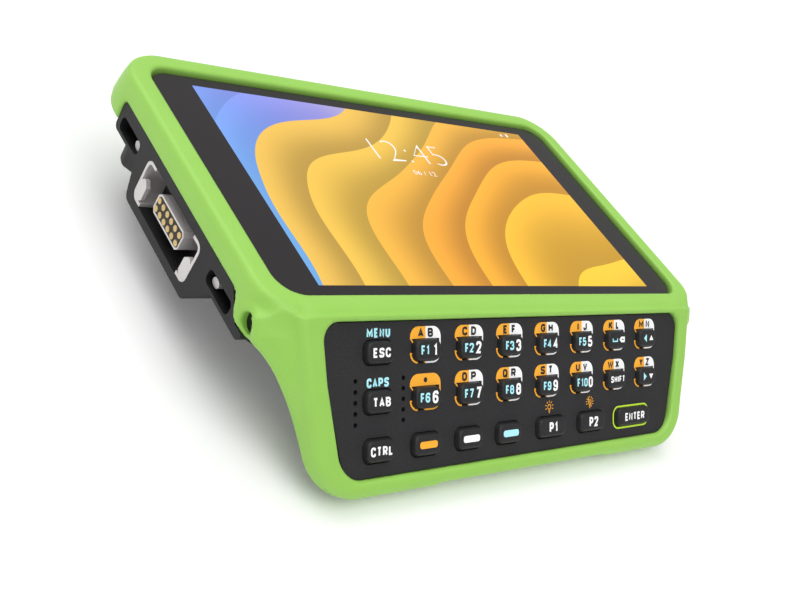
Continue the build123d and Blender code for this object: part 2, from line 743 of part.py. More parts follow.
# ---- battery pack and its pads ----------------------------------------------------------------
battery_l = hump_y[1] - battery_front_y
battery_mid_y = display_y + battery_front_y + battery_l / 2
with BuildPart() as battery_pack:
    with BuildSketch(Plane.XY.offset(battery_lift)):
        with Locations((0, battery_mid_y)):
            Rectangle(2 * battery_half_w, battery_l)
    extrude(amount=battery_top_z - battery_lift)
    with BuildSketch(Plane.XY.offset(rail_z)):
        with Locations((0, battery_mid_y)):
            Rectangle(2 * (battery_half_w + rail_w), battery_l)
    extrude(amount=rail_t)
    end_face = battery_pack.faces().sort_by(Axis.Y)[-1]
    low_edge = end_face.edges().sort_by(Axis.Z)[0]
    fillet(low_edge, battery_corner_r)
    # its end steps in at both sides, and the locks reach in behind these shoulders
    shoulder_l = hump_y[1] - battery_shoulder_y
    for side in (-1, 1):
        with BuildSketch(Plane.XY):
            with Locations((side * battery_half_w, display_y + hump_y[1])):
                Rectangle(2 * battery_shoulder_w, 2 * shoulder_l)
        extrude(amount=battery_top_z, mode=Mode.SUBTRACT)
    with BuildSketch(Plane.XY.offset(battery_top_z)):
        with Locations(*battery_pin_places):
            Rectangle(battery_pad_w, battery_pad_w)
    extrude(amount=-battery_pad_t, mode=Mode.SUBTRACT)
finish(battery_pack, "battery_pack")

with BuildPart() as battery_pads:
    with BuildSketch(Plane.XY.offset(battery_top_z)):
        with Locations(*battery_pin_places):
            Rectangle(battery_pad_w, battery_pad_w)
    extrude(amount=-battery_pad_t)
finish(battery_pads, "battery_pads")

with BuildPart() as battery_pins:
    with BuildSketch(Plane.XY.offset(mainboard_top - mainboard_t)):
        with Locations(*battery_pin_places):
            Circle(battery_pin_r)
    extrude(amount=-(mainboard_top - mainboard_t - battery_top_z - battery_pin_gap))
finish(battery_pins, "battery_pins")

# ---- battery locks: sliders that hold the pack from both sides, drawn released ----------------
for side, name in ((-1, "battery_lock_left"), (1, "battery_lock_right")):
    with BuildPart() as lock:
        with BuildSketch(Plane.XY.offset(lock_plate_z)):
            with Locations((side * lock_mid, display_y + lock_y)):
                Rectangle(lock_l, lock_w)
            with Locations((side * lock_nose_mid, display_y + lock_y)):
                Rectangle(lock_nose_l, lock_nose_w)
        extrude(amount=lock_t)
        with BuildSketch(Plane.XY.offset(lock_gap)):
            with Locations((side * lock_mid, display_y + lock_y)):
                Rectangle(lock_l - 2 * lock_grip_margin, lock_w - 2 * lock_grip_margin)
        extrude(amount=lock_plate_z - lock_gap)
    finish(lock, name)

# ---- docking sockets: metal liner, contact block, its collar and the contacts -----------------
claw_inner_y = (socket_y[0] + liner_claw_y, socket_y[1] - liner_claw_y)
block_l, block_mid = span(block_y)
block_h, block_mid_z = span(block_z)
for side, label in ((-1, "left"), (1, "right")):
    inward = -side
    with BuildPart() as dock_liner:
        with BuildSketch(side_plane(side * (strip_half_w - liner_gap))):
            with Locations((socket_mid, socket_mid_z)):
                RectangleRounded(
                    socket_l - 2 * liner_gap, socket_t - 2 * liner_gap, socket_corner_r - liner_gap
                )
                RectangleRounded(
                    socket_l - 2 * liner_gap - 2 * liner_wall,
                    socket_t - 2 * liner_gap - 2 * liner_wall,
                    socket_corner_r - liner_gap - liner_wall,
                    mode=Mode.SUBTRACT,
                )
        extrude(amount=inward * (socket_depth - liner_gap))
        with BuildSketch(side_plane(side * (strip_half_w - liner_gap))) as claws:
            for end in (-1, 1):
                claw_y = socket_mid + end * (socket_l / 2 - liner_gap - liner_claw_y / 2)
                claw_z = socket_z[0] + liner_gap + liner_claw_z / 2
                with Locations((claw_y, claw_z)):
                    Rectangle(liner_claw_y - liner_wall, liner_claw_z - liner_wall)
            chamfer(claws.vertices(), liner_claw_chamfer)
        extrude(amount=inward * liner_claw_t)
        # the long upper side stands back from the side strip
        with BuildSketch(side_plane(side * strip_half_w)):
            with Locations((socket_mid, socket_z[1])):
                Rectangle(claw_inner_y[1] - claw_inner_y[0], 2 * (liner_gap + liner_wall))
        extrude(amount=inward * liner_setback, mode=Mode.SUBTRACT)
        with BuildSketch(side_plane(side * strip_half_w)):
            with Locations((socket_mid, socket_z[0])):
                Rectangle(claw_inner_y[1] - claw_inner_y[0], 2 * (liner_gap + liner_wall))
        extrude(amount=inward * socket_depth, mode=Mode.SUBTRACT)
    finish(dock_liner, f"dock_liner_{label}")

    with BuildPart() as contact_collar:
        with BuildSketch(side_plane(side * (strip_half_w - contact_face))) as collar_profile:
            with Locations((block_mid, block_mid_z)):
                Rectangle(block_l, block_h)
            chamfer(collar_profile.vertices(), block_chamfer)
            offset(amount=-collar_wall, mode=Mode.SUBTRACT)
        extrude(amount=inward * (socket_depth - contact_face))
    finish(contact_collar, f"contact_collar_{label}")

    with BuildPart() as contact_block:
        with BuildSketch(side_plane(side * (strip_half_w - contact_face))) as block_profile:
            with Locations((block_mid, block_mid_z)):
                Rectangle(block_l, block_h)
            chamfer(block_profile.vertices(), block_chamfer)
            offset(amount=-collar_wall - screw_gap, mode=Mode.REPLACE)
        extrude(amount=inward * (socket_depth - contact_face))
        with BuildSketch(side_plane(side * (strip_half_w - contact_face))):
            with Locations((block_mid, block_mid_z)):
                with GridLocations(contact_pitch, contact_pitch, contact_columns, contact_rows):
                    Circle(contact_r + screw_gap)
        extrude(amount=inward * contact_l, mode=Mode.SUBTRACT)
    finish(contact_block, f"contact_block_{label}")

    with BuildPart() as contact_pins:
        with BuildSketch(side_plane(side * (strip_half_w - contact_face + contact_rise))):
            with Locations((block_mid, block_mid_z)):
                with GridLocations(contact_pitch, contact_pitch, contact_columns, contact_rows):
                    Circle(contact_r)
        extrude(amount=inward * (contact_l + contact_rise))
    finish(contact_pins, f"contact_pins_{label}")

# ---- strap posts, standing in the slots -------------------------------------------------------
with BuildPart() as strap_posts:
    for side in (-1, 1):
        with BuildSketch(side_plane(side * (strip_half_w - post_recess))):
            for middle in post_y:
                with Locations((middle, slot_mid_z - post_drop)):
                    SlotOverall(post_w, post_h)
        extrude(amount=-side * (slot_depth - post_recess))
finish(strap_posts, "strap_posts")

# ---- screws -----------------------------------------------------------------------------------
with BuildPart() as side_screws:
    for side in (-1, 1):
        with BuildSketch(side_plane(side * side_screw_face)):
            with Locations((side_screw_y, side_screw_z)):
                Circle(side_screw_head_r)
        extrude(amount=-side * side_screw_head_t)
        with BuildSketch(side_plane(side * (side_screw_face - side_screw_head_t))):
            with Locations((side_screw_y, side_screw_z)):
                Circle(side_screw_shank_r)
        extrude(amount=-side * side_screw_length)
        with BuildSketch(side_plane(side * side_screw_face)):
            with Locations((side_screw_y, side_screw_z)):
                RegularPolygon(drive_r, 6)
        extrude(amount=-side * drive_depth, mode=Mode.SUBTRACT)
finish(side_screws, "side_screws")

with BuildPart() as rear_screws:
    with BuildSketch(Plane.XY.offset(rear_screw_sink)):
        with Locations(*standoff_places):
            Circle(rear_screw_r)
    extrude(amount=rear_screw_head_t)
    with BuildSketch(Plane.XY.offset(rear_screw_sink)):
        with Locations(*standoff_places):
            Circle(rear_screw_shank_r)
    extrude(amount=mainboard_top + standoff_thread - rear_screw_sink)
    with BuildSketch(Plane.XY.offset(rear_screw_sink)):
        with Locations(*standoff_places):
            RegularPolygon(drive_r, 6)
    extrude(amount=drive_depth, mode=Mode.SUBTRACT)
finish(rear_screws, "rear_screws")

# ---- vibration motor --------------------------------------------------------------------------
with BuildPart() as vibration_motor:
    with BuildSketch(Plane.XY.offset(deck_top)):
        with Locations((motor_x, display_y + motor_y)):
            Circle(motor_r)
    extrude(amount=motor_t)
    fillet(vibration_motor.faces().sort_by(Axis.Z)[-1].edges(), motor_round)
finish(vibration_motor, "vibration_motor")
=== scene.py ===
import json
import math

import bpy
import numpy as np
from mathutils import Matrix, Vector


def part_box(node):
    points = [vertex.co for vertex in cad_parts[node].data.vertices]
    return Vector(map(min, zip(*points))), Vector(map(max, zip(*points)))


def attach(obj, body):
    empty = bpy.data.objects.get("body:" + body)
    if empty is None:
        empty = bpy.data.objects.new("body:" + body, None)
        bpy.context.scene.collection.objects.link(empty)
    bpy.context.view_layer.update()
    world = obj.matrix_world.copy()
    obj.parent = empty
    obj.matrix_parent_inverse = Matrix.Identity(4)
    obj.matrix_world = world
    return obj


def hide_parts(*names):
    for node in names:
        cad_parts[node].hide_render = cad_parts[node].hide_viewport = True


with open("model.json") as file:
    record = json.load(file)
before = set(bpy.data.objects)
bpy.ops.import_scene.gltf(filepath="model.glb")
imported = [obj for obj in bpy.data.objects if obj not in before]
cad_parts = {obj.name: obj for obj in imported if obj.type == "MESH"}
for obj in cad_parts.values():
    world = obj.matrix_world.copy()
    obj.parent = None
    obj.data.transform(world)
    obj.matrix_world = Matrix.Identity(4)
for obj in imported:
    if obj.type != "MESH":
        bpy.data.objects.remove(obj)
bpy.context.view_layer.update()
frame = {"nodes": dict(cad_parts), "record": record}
mm = 0.001

# Places that the whole scene shares, in mm. Heights and widths below are from the glass's outer face
# (z) and from the middle of the picture (y). On the sloping wing, u runs across, v down the slope
# from the top of the keypad panel, and n straight out of the panel.
moduleLow, moduleHigh = (np.array(corner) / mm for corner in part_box("display_module"))
place = {
    "screenZ": float(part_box("cover_glass")[1][2]) / mm,
    "pictureY": float(moduleLow[1] + moduleHigh[1]) / 2,     # the display is centred on its picture
    "wingY": -32.26,
    "wingZ": -0.6,
    "slopeSin": math.sin(math.radians(45)),
    "slopeCos": math.cos(math.radians(45)),
}
origin = np.array([0.0, place["pictureY"], place["screenZ"]])


def onWing(u, v, n):
    # y falls by v cos and n sin, z falls by v sin and rises by n cos
    y = place["wingY"] - v * place["slopeCos"] - n * place["slopeSin"]
    z = place["wingZ"] - v * place["slopeSin"] + n * place["slopeCos"]
    return np.stack(np.broadcast_arrays(u, y, z), axis=-1) + origin


# camera and light
camera = {
    "spot": (-149.82, -116.10, 90.85),      # mm, from the middle of the picture
    "look": (0.68989, 0.50336, -0.52027),
    "up": (0.00699, 0.71402, 0.70009),
    "lens": 48.80,
}


def makeCamera(settings):
    look = Vector(settings["look"]).normalized()
    right = look.cross(Vector(settings["up"])).normalized()
    up = right.cross(look)
    turn = Matrix((right, up, -look)).transposed().to_4x4()
    data = bpy.data.cameras.new("camera")
    data.lens = settings["lens"]
    data.sensor_width = 36
    data.clip_start = 0.01
    data.clip_end = 20
    thing = bpy.data.objects.new("camera", data)
    thing.matrix_world = Matrix.Translation(Vector(origin + settings["spot"]) * mm) @ turn
    bpy.context.scene.collection.objects.link(thing)
    bpy.context.scene.camera = thing


lamps = {
    "front": {"from": (-0.16, -0.36, 1.0), "strength": 1.2, "softness": 55, "colour": "#FFFFFF"},
    "back": {"from": (-0.12, 0.66, 1.0), "strength": 1.2, "softness": 55, "colour": "#FFFFFF"},
}
skyStrength = 0.4


def toLinear(hexText):
    parts = [int(hexText[i:i + 2], 16) / 255 for i in (1, 3, 5)]
    return [p / 12.92 if p <= 0.04045 else ((p + 0.055) / 1.055) ** 2.4 for p in parts] + [1.0]


def makeLamps(settings):
    for name, lamp in settings.items():
        data = bpy.data.lights.new(name, "SUN")
        data.energy = lamp["strength"]
        data.angle = math.radians(lamp["softness"])
        data.color = toLinear(lamp["colour"])[:3]
        thing = bpy.data.objects.new(name, data)
        thing.matrix_world = Vector(lamp["from"]).to_track_quat("Z", "Y").to_matrix().to_4x4()
        bpy.context.scene.collection.objects.link(thing)


def addNode(tree, kind, settings=None, links=None):
    # a link comes from an output, or from a node and then from its first output
    node = tree.nodes.new(kind)
    for key, value in (settings or {}).items():
        if isinstance(key, int) or key in node.inputs:
            node.inputs[key].default_value = value
        else:
            setattr(node, key, value)
    for socket, source in (links or {}).items():
        tree.links.new(getattr(source, "outputs", [source])[0], node.inputs[socket])
    return node


def makeSky(strength):
    world = bpy.data.worlds.new("paleStudio")
    world.use_nodes = True
    world.node_tree.nodes.clear()
    tree = world.node_tree
    shader = addNode(tree, "ShaderNodeBackground", {"Color": (1, 1, 1, 1), "Strength": strength})
    addNode(tree, "ShaderNodeOutputWorld", links={"Surface": shader.outputs[0]})
    bpy.context.scene.world = world


makeCamera(camera)
makeLamps(lamps)
makeSky(skyStrength)
bpy.context.scene.view_settings.view_transform = "Standard"
print("camera and light are set")


# materials
def newMaterial(name):
    material = bpy.data.materials.new(name)
    material.use_nodes = True
    material.node_tree.nodes.clear()
    return material, material.node_tree


def mouldedMaterial(name, look):
    # grain: fine pits left by the mould, as a noise bump at their real size; cloud: the faint
    # unevenness of a moulded colour, a few per cent over some millimetres
    material, tree = newMaterial(name)
    coords = addNode(tree, "ShaderNodeTexCoord").outputs["Object"]
    grain = addNode(tree, "ShaderNodeTexNoise",
                    {"Scale": 1 / (look["grain"] * mm), "Detail": 2.0, "Roughness": 0.6}, {"Vector": coords})
    cloud = addNode(tree, "ShaderNodeTexNoise", {"Scale": 1 / (look["cloud"] * mm), "Detail": 3.0},
                    {"Vector": coords})
    tint = addNode(tree, "ShaderNodeMix",
                   {"data_type": "RGBA", 6: toLinear(look["dark"]), 7: toLinear(look["light"])}, {0: cloud})
    speck = addNode(tree, "ShaderNodeMapRange", {"To Min": 1 - look["speck"], "To Max": 1 + look["speck"],
                                                 "From Min": 0.35, "From Max": 0.65}, {"Value": grain})
    colour = addNode(tree, "ShaderNodeVectorMath", {"operation": "SCALE"},
                     {0: tint.outputs[2], "Scale": speck})
    rough = addNode(tree, "ShaderNodeMapRange",
                    {"To Min": look["rough"] - 0.06, "To Max": look["rough"] + 0.06}, {"Value": cloud})
    bump = addNode(tree, "ShaderNodeBump", {"Strength": look["bump"], "Distance": look["depth"] * mm},
                   {"Height": grain})
    shader = addNode(tree, "ShaderNodeBsdfPrincipled",
                     {"IOR": look["ior"], "Metallic": look["metal"], "Specular IOR Level": look["gloss"]},
                     {"Base Color": colour, "Roughness": rough, "Normal": bump})
    addNode(tree, "ShaderNodeOutputMaterial", links={"Surface": shader})
    return material


def brushedMaterial(name, look):
    # fine scratches: noise stretched along an axis, in colour, gloss and bump
    material, tree = newMaterial(name)
    mapping = addNode(tree, "ShaderNodeMapping", {"Scale": [1 / (size * mm) for size in look["scratch"]]},
                      {"Vector": addNode(tree, "ShaderNodeTexCoord").outputs["Object"]})
    scratch = addNode(tree, "ShaderNodeTexNoise", {"Scale": 1.0, "Detail": 3.0}, {"Vector": mapping})
    tint = addNode(tree, "ShaderNodeMix",
                   {"data_type": "RGBA", 6: toLinear(look["dark"]), 7: toLinear(look["light"])}, {0: scratch})
    rough = addNode(tree, "ShaderNodeMapRange",
                    {"To Min": look["rough"] - 0.08, "To Max": look["rough"] + 0.08}, {"Value": scratch})
    bump = addNode(tree, "ShaderNodeBump", {"Strength": look["bump"], "Distance": look["depth"] * mm},
                   {"Height": scratch})
    shader = addNode(tree, "ShaderNodeBsdfPrincipled", {"Metallic": look["metal"]},
                     {"Base Color": tint.outputs[2], "Roughness": rough, "Normal": bump})
    addNode(tree, "ShaderNodeOutputMaterial", links={"Surface": shader})
    return material


# what most of the moulded materials share; sizes in mm
commonLook = {"cloud": 6.0, "grain": 0.2, "speck": 0.1, "rough": 0.5, "bump": 0.3, "depth": 0.02, "ior": 1.5,
              "metal": 0.0, "gloss": 0.5}
mouldedLooks = {
    # soft thermoplastic rubber from a fine-eroded mould: even lime colour, broad soft highlights
    "limeRubber": {"light": "#A3DC60", "dark": "#9DD65B", "cloud": 9.0, "grain": 0.16, "speck": 0.03,
                   "rough": 0.46, "bump": 0.25},
    # polycarbonate blend with a coarse spark-eroded grain: dark grey, no clear reflections
    "panelPlastic": {"light": "#313032", "dark": "#2B2A2C", "cloud": 14.0, "grain": 0.22, "speck": 0.22,
                     "rough": 0.62, "bump": 0.5, "depth": 0.03, "gloss": 0.3},
    "capPlastic": {"light": "#29282A", "dark": "#222123", "cloud": 5.0, "speck": 0.2, "bump": 0.45,
                   "depth": 0.03, "gloss": 0.4},
    "housingPlastic": {"light": "#201F21", "dark": "#1A191B", "cloud": 10.0, "grain": 0.22,
                       "speck": 0.2, "rough": 0.55, "bump": 0.5, "depth": 0.03, "gloss": 0.35},
    "batteryPlastic": {"light": "#343437", "dark": "#2C2C2F", "cloud": 9.0, "grain": 0.25,
                       "speck": 0.15, "rough": 0.6, "bump": 0.5, "depth": 0.03},
    "lockPlastic": {"light": "#A8332B", "dark": "#972A23", "grain": 0.25, "speck": 0.06, "rough": 0.45},
    "sealRubber": {"light": "#1D1D1E", "dark": "#171718", "cloud": 4.0, "grain": 0.3, "rough": 0.75},
    "circuitBoard": {"light": "#14532D", "dark": "#0F4023", "grain": 0.4, "rough": 0.35},
    "sounderPlastic": {"light": "#1B1B1C", "dark": "#151516", "cloud": 3.0, "rough": 0.7},
    "flexFilm": {"light": "#B0702A", "dark": "#9A5E20", "cloud": 3.0, "grain": 0.5, "speck": 0.05,
                 "rough": 0.3, "bump": 0.1, "depth": 0.01, "ior": 1.6},
    "moduleBody": {"light": "#2A2A2C", "dark": "#232325", "grain": 0.3, "speck": 0.05, "rough": 0.3,
                   "bump": 0.1, "depth": 0.01},
    "blackOxide": {"light": "#232224", "dark": "#1A191B", "cloud": 1.5, "grain": 0.15, "rough": 0.36,
                   "depth": 0.01, "metal": 0.3},
    "contactPlastic": {"light": "#2E2B29", "dark": "#262322", "cloud": 2.0, "grain": 0.15,
                       "speck": 0.08, "bump": 0.2, "depth": 0.01},
}
brushedLooks = {
    # die-cast zinc with satin nickel: pale, slightly warm grey with faint tooling lines
    "satinNickel": {"light": "#E6E2E1", "dark": "#D4D0CF", "scratch": (0.3, 4.0, 0.3), "rough": 0.45,
                    "bump": 0.15, "depth": 0.01, "metal": 0.4},
    # gold over nickel on copper alloy pins
    "goldPlate": {"light": "#E0C68A", "dark": "#C2A468", "scratch": (0.2, 0.2, 0.2), "rough": 0.32,
                  "bump": 0.1, "depth": 0.005, "metal": 0.7},
    "springSteel": {"light": "#C9C9C8", "dark": "#A9A9A8", "scratch": (3.0, 0.2, 0.2), "rough": 0.35,
                    "bump": 0.1, "depth": 0.005, "metal": 1.0},
    "castAluminium": {"light": "#B9BABB", "dark": "#9C9D9E", "scratch": (0.4, 0.4, 0.4), "rough": 0.5,
                      "bump": 0.3, "depth": 0.03, "metal": 0.9},
}


# glow: painted light, a faint emission that makes every ink shine by itself
inkLook = {"patch": 0.6, "shade": (0.94, 1.03), "rough": 0.5, "glow": 0.16}     # patch in mm


def inkMaterial(name, hexText, look):
    # screen-printed ink: flat colour, slightly uneven, satin, with a faint painted glow: emission that
    # lightens the ink whatever light falls on it
    material, tree = newMaterial(name)
    cloud = addNode(tree, "ShaderNodeTexNoise", {"Scale": 1 / (look["patch"] * mm), "Detail": 2.0},
                    {"Vector": addNode(tree, "ShaderNodeTexCoord").outputs["Object"]})
    low, high = look["shade"]
    shade = addNode(tree, "ShaderNodeMapRange", {"To Min": low, "To Max": high}, {"Value": cloud})
    colour = addNode(tree, "ShaderNodeVectorMath", {"operation": "SCALE", 0: toLinear(hexText)[:3]},
                     {"Scale": shade})
    shader = addNode(tree, "ShaderNodeBsdfPrincipled",
                     {"Roughness": look["rough"], "IOR": 1.5, "Emission Strength": look["glow"]},
                     {"Base Color": colour, "Emission Color": colour})
    addNode(tree, "ShaderNodeOutputMaterial", links={"Surface": shader})
    return material


inks = {"inkOrange": "#FFB22E", "inkWhite": "#FFFFFF", "inkCyan": "#B4F4FF", "inkLime": "#CDF53C",
        "inkDark": "#232224"}

picture = {
    "halfW": 44.275, "halfH": 24.9,           # mm
    "border": "#2E2B2D",
    "ringCentre": (52.0, -50.0), "ringWidth": 10.5, "ringReach": 104.0,
    "wave": 28.0, "waveSize": 46.0,
    "warm": [(0.0, "#FFF04A"), (0.22, "#FFD93A"), (0.42, "#FFC23A"), (0.62, "#FFA035"),
             (0.82, "#F4D75A"), (1.0, "#F2B25C")],
    "warmShade": (0.62, 1.08),
    "cool": [(0.0, "#7FC4FF"), (0.45, "#7C9DF5"), (0.8, "#A39AF2"), (1.0, "#D9CFEA")],
    "coolShade": (0.86, 1.05), "coolTilt": 0.9, "coolLength": 75.0, "coolStart": 0.75,
    "smudge": 12.0, "rough": (0.22, 0.30), "gloss": 0.25,
}


def addSums(tree, found, sums):
    # each row: the name of a result, the operation, and its terms, which are earlier results or numbers
    for name, operation, *terms in sums:
        numbers = {slot: term for slot, term in enumerate(terms) if not isinstance(term, str)}
        links = {slot: found[term] for slot, term in enumerate(terms) if isinstance(term, str)}
        found[name] = addNode(tree, "ShaderNodeMath", {"operation": operation, **numbers}, links)


def glassMaterial(name, look):
    # chemically hardened cover glass, printed black behind its border; the lit picture shows inside it.
    # The picture is a field of broad rings round a point outside it, each ring shaded from its inner to
    # its outer edge like cut paper, over a cool sky that fades across the width.
    material, tree = newMaterial(name)
    shift = (0.0, -place["pictureY"], 0.0)
    local = addNode(tree, "ShaderNodeMapping", {"Scale": (1 / mm,) * 3, "Location": shift},
                    {"Vector": addNode(tree, "ShaderNodeTexCoord").outputs["Object"]})
    axes = addNode(tree, "ShaderNodeSeparateXYZ", links={0: local}).outputs
    wave = addNode(tree, "ShaderNodeTexNoise", {"Scale": 1 / look["waveSize"], "Detail": 0.0,
                                                "noise_dimensions": "2D"}, {"Vector": local})
    found = {"x": axes[0], "y": axes[1], "wave": wave}
    addSums(tree, found, [
        ("across", "ABSOLUTE", "x"), ("inX", "LESS_THAN", "across", look["halfW"]),
        ("along", "ABSOLUTE", "y"), ("inY", "LESS_THAN", "along", look["halfH"]),
        ("inside", "MULTIPLY", "inX", "inY"),
        ("swing", "SUBTRACT", "wave", 0.5), ("offset", "MULTIPLY", "swing", look["wave"]),
        ("dx", "SUBTRACT", "x", look["ringCentre"][0]), ("dy", "SUBTRACT", "y", look["ringCentre"][1]),
        ("dx2", "MULTIPLY", "dx", "dx"), ("dy2", "MULTIPLY", "dy", "dy"), ("square", "ADD", "dx2", "dy2"),
        ("distance", "SQRT", "square"), ("radius", "ADD", "distance", "offset"),
        ("turns", "DIVIDE", "radius", look["ringWidth"]), ("within", "FRACT", "turns"),
        ("ring", "FLOOR", "turns"), ("ringStart", "MULTIPLY", "ring", look["ringWidth"]),
        ("warmSpot", "DIVIDE", "ringStart", look["ringReach"]),
        ("far", "GREATER_THAN", "ringStart", look["ringReach"]),
        ("lean", "MULTIPLY", "y", look["coolTilt"]), ("tilted", "ADD", "x", "lean"),
        ("slant", "DIVIDE", "tilted", look["coolLength"]), ("coolSpot", "ADD", "slant", look["coolStart"]),
    ])
    shaded = []
    for part in ("warm", "cool"):
        colours = addNode(tree, "ShaderNodeValToRGB", links={"Fac": found[part + "Spot"]})
        stops = colours.color_ramp.elements
        colours.color_ramp.interpolation = "B_SPLINE"
        while len(stops) < len(look[part]):
            stops.new(0.5)
        for stop, (spot, colour) in zip(stops, look[part]):
            stop.position = spot
            stop.color = toLinear(colour)
        low, high = look[part + "Shade"]
        shade = addNode(tree, "ShaderNodeMapRange", {"To Min": low, "To Max": high,
                                                     "interpolation_type": "SMOOTHSTEP"},
                        {"Value": found["within"]})
        shaded.append(addNode(tree, "ShaderNodeVectorMath", {"operation": "SCALE"},
                              {0: colours, "Scale": shade}))
    shown = addNode(tree, "ShaderNodeMix", {"data_type": "RGBA"},
                    {0: found["far"], 6: shaded[0], 7: shaded[1]}).outputs[2]
    lit = addNode(tree, "ShaderNodeVectorMath", {"operation": "SCALE"}, {0: shown, "Scale": found["inside"]})
    blackPrint = addNode(tree, "ShaderNodeMix",
                     {"data_type": "RGBA", 6: toLinear(look["border"]), 7: toLinear("#000000")},
                     {0: found["inside"]}).outputs[2]
    smudge = addNode(tree, "ShaderNodeTexNoise", {"Scale": 1 / look["smudge"], "Detail": 3.0},
                     {"Vector": local})
    low, high = look["rough"]
    rough = addNode(tree, "ShaderNodeMapRange", {"To Min": low, "To Max": high}, {"Value": smudge})
    shader = addNode(tree, "ShaderNodeBsdfPrincipled",
                     {"IOR": 1.5, "Specular IOR Level": look["gloss"], "Emission Strength": 1.0},
                     {"Base Color": blackPrint, "Roughness": rough, "Emission Color": lit})
    addNode(tree, "ShaderNodeOutputMaterial", links={"Surface": shader})
    return material


def glowMaterial(name, hexText):
    # lit marks on the screen
    material, tree = newMaterial(name)
    shader = addNode(tree, "ShaderNodeBsdfPrincipled",
                     {"Base Color": (0, 0, 0, 1), "Roughness": 0.3, "Emission Color": toLinear(hexText),
                      "Emission Strength": 1.0})
    addNode(tree, "ShaderNodeOutputMaterial", links={"Surface": shader})
    return material


finishes = {name: mouldedMaterial(name, {**commonLook, **look}) for name, look in mouldedLooks.items()}
finishes.update({name: brushedMaterial(name, look) for name, look in brushedLooks.items()})
finishes.update({name: inkMaterial(name, hexText, inkLook) for name, hexText in inks.items()})
finishes["coverGlass"] = glassMaterial("coverGlass", picture)
finishes["screenWhite"] = glowMaterial("screenWhite", "#FFFFFF")
slotFinish = {
    "bumper_rubber": "limeRubber", "cover_glass": "coverGlass", "seal_rubber": "sealRubber",
    "display_body": "moduleBody", "cast_tray": "castAluminium", "circuit_board": "circuitBoard",
    "keypad_plastic": "panelPlastic", "spring_steel": "springSteel", "housing_plastic": "housingPlastic",
    "sounder_plastic": "sounderPlastic", "flex_film": "flexFilm", "battery_plastic": "batteryPlastic",
    "gold_plate": "goldPlate", "lock_plastic": "lockPlastic", "liner_metal": "satinNickel",
    "contact_plastic": "contactPlastic", "black_screw": "blackOxide", "key_plastic": "capPlastic",
}
nodeSlot = {row["node"]: row["material_slot"] for row in frame["record"]["subparts"]}
for node, thing in frame["nodes"].items():
    for materialSlot in thing.material_slots:
        materialSlot.material = finishes[slotFinish[nodeSlot[node]]]
print("materials are made:", len(finishes))


# building surfaces
def addPiece(name, points, faces, materials, body, faceMaterials=None, sharpAngle=None):
    # points in mm; the piece sits at the origin with its place in its mesh
    mesh = bpy.data.meshes.new(name)
    faceList = faces if isinstance(faces, list) else faces.tolist()
    mesh.from_pydata((np.asarray(points) * mm).tolist(), [], faceList)
    for material in materials:
        mesh.materials.append(finishes[material])
    if faceMaterials is not None:
        mesh.polygons.foreach_set("material_index", np.asarray(faceMaterials, np.int32))
    mesh.polygons.foreach_set("use_smooth", np.full(len(mesh.polygons), sharpAngle != 0))
    if sharpAngle:
        mesh.set_sharp_from_angle(angle=math.radians(sharpAngle))
    mesh.update()
    thing = bpy.data.objects.new(name, mesh)
    bpy.context.scene.collection.objects.link(thing)
    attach(thing, body)
    return thing


def gridFaces(rows, columns):
    # quads between rows of points; each row is a closed loop
    row, column = np.meshgrid(np.arange(rows - 1), np.arange(columns), indexing="ij")
    after = (column + 1) % columns
    quads = np.stack([row * columns + column, row * columns + after,
                      (row + 1) * columns + after, (row + 1) * columns + column], axis=-1)
    return quads.reshape(-1, 4)


def roundedLoop(halfW, halfH, radius, arcSteps=6):
    # round a rectangle anticlockwise: four quarter arcs, with a point in the middle of the top and of
    # the bottom; sizes may be columns, one for each row of a surface
    turn = np.linspace(0, math.pi / 2, arcSteps + 1)
    quarter = np.arange(4)[:, None] * math.pi / 2
    signX = np.array([1, -1, -1, 1])[:, None]
    signY = np.array([1, 1, -1, -1])[:, None]
    halfW, halfH, radius = (np.asarray(v, float)[..., None, None] for v in (halfW, halfH, radius))
    x = signX * (halfW - radius) + radius * np.cos(turn + quarter)
    y = signY * (halfH - radius) + radius * np.sin(turn + quarter)
    middle = np.zeros(x.shape[:-2] + (1,))
    height = halfH[..., 0]
    xs = [x[..., 0, :], middle, x[..., 1, :], x[..., 2, :], middle, x[..., 3, :]]
    ys = [y[..., 0, :], middle + height, y[..., 1, :], y[..., 2, :], middle - height, y[..., 3, :]]
    return np.concatenate(xs, axis=-1), np.concatenate(ys, axis=-1)


def roundMax(a, b, radius):
    # both at once, with a round of that radius along the edge where they meet
    u = np.maximum(a + radius, 0)
    v = np.maximum(b + radius, 0)
    return np.minimum(np.maximum(a, b), -radius) + np.sqrt(u * u + v * v)


def roundMin(a, b, radius):
    # either one, with a round of that radius in the corner between them
    return -roundMax(-a, -b, radius)


def rectangleField(x, y, halfW, halfH, radius):
    # distance to a rectangle with round corners, negative inside
    u = np.abs(x) - halfW + radius
    v = np.abs(y) - halfH + radius
    return np.hypot(np.maximum(u, 0), np.maximum(v, 0)) + np.minimum(np.maximum(u, v), 0) - radius


def lineField(across, along, start, end):
    # distance to the line from start to end, positive on its outer side
    du, dv = end[0] - start[0], end[1] - start[1]
    return ((across - start[0]) * dv - (along - start[1]) * du) / math.hypot(du, dv)


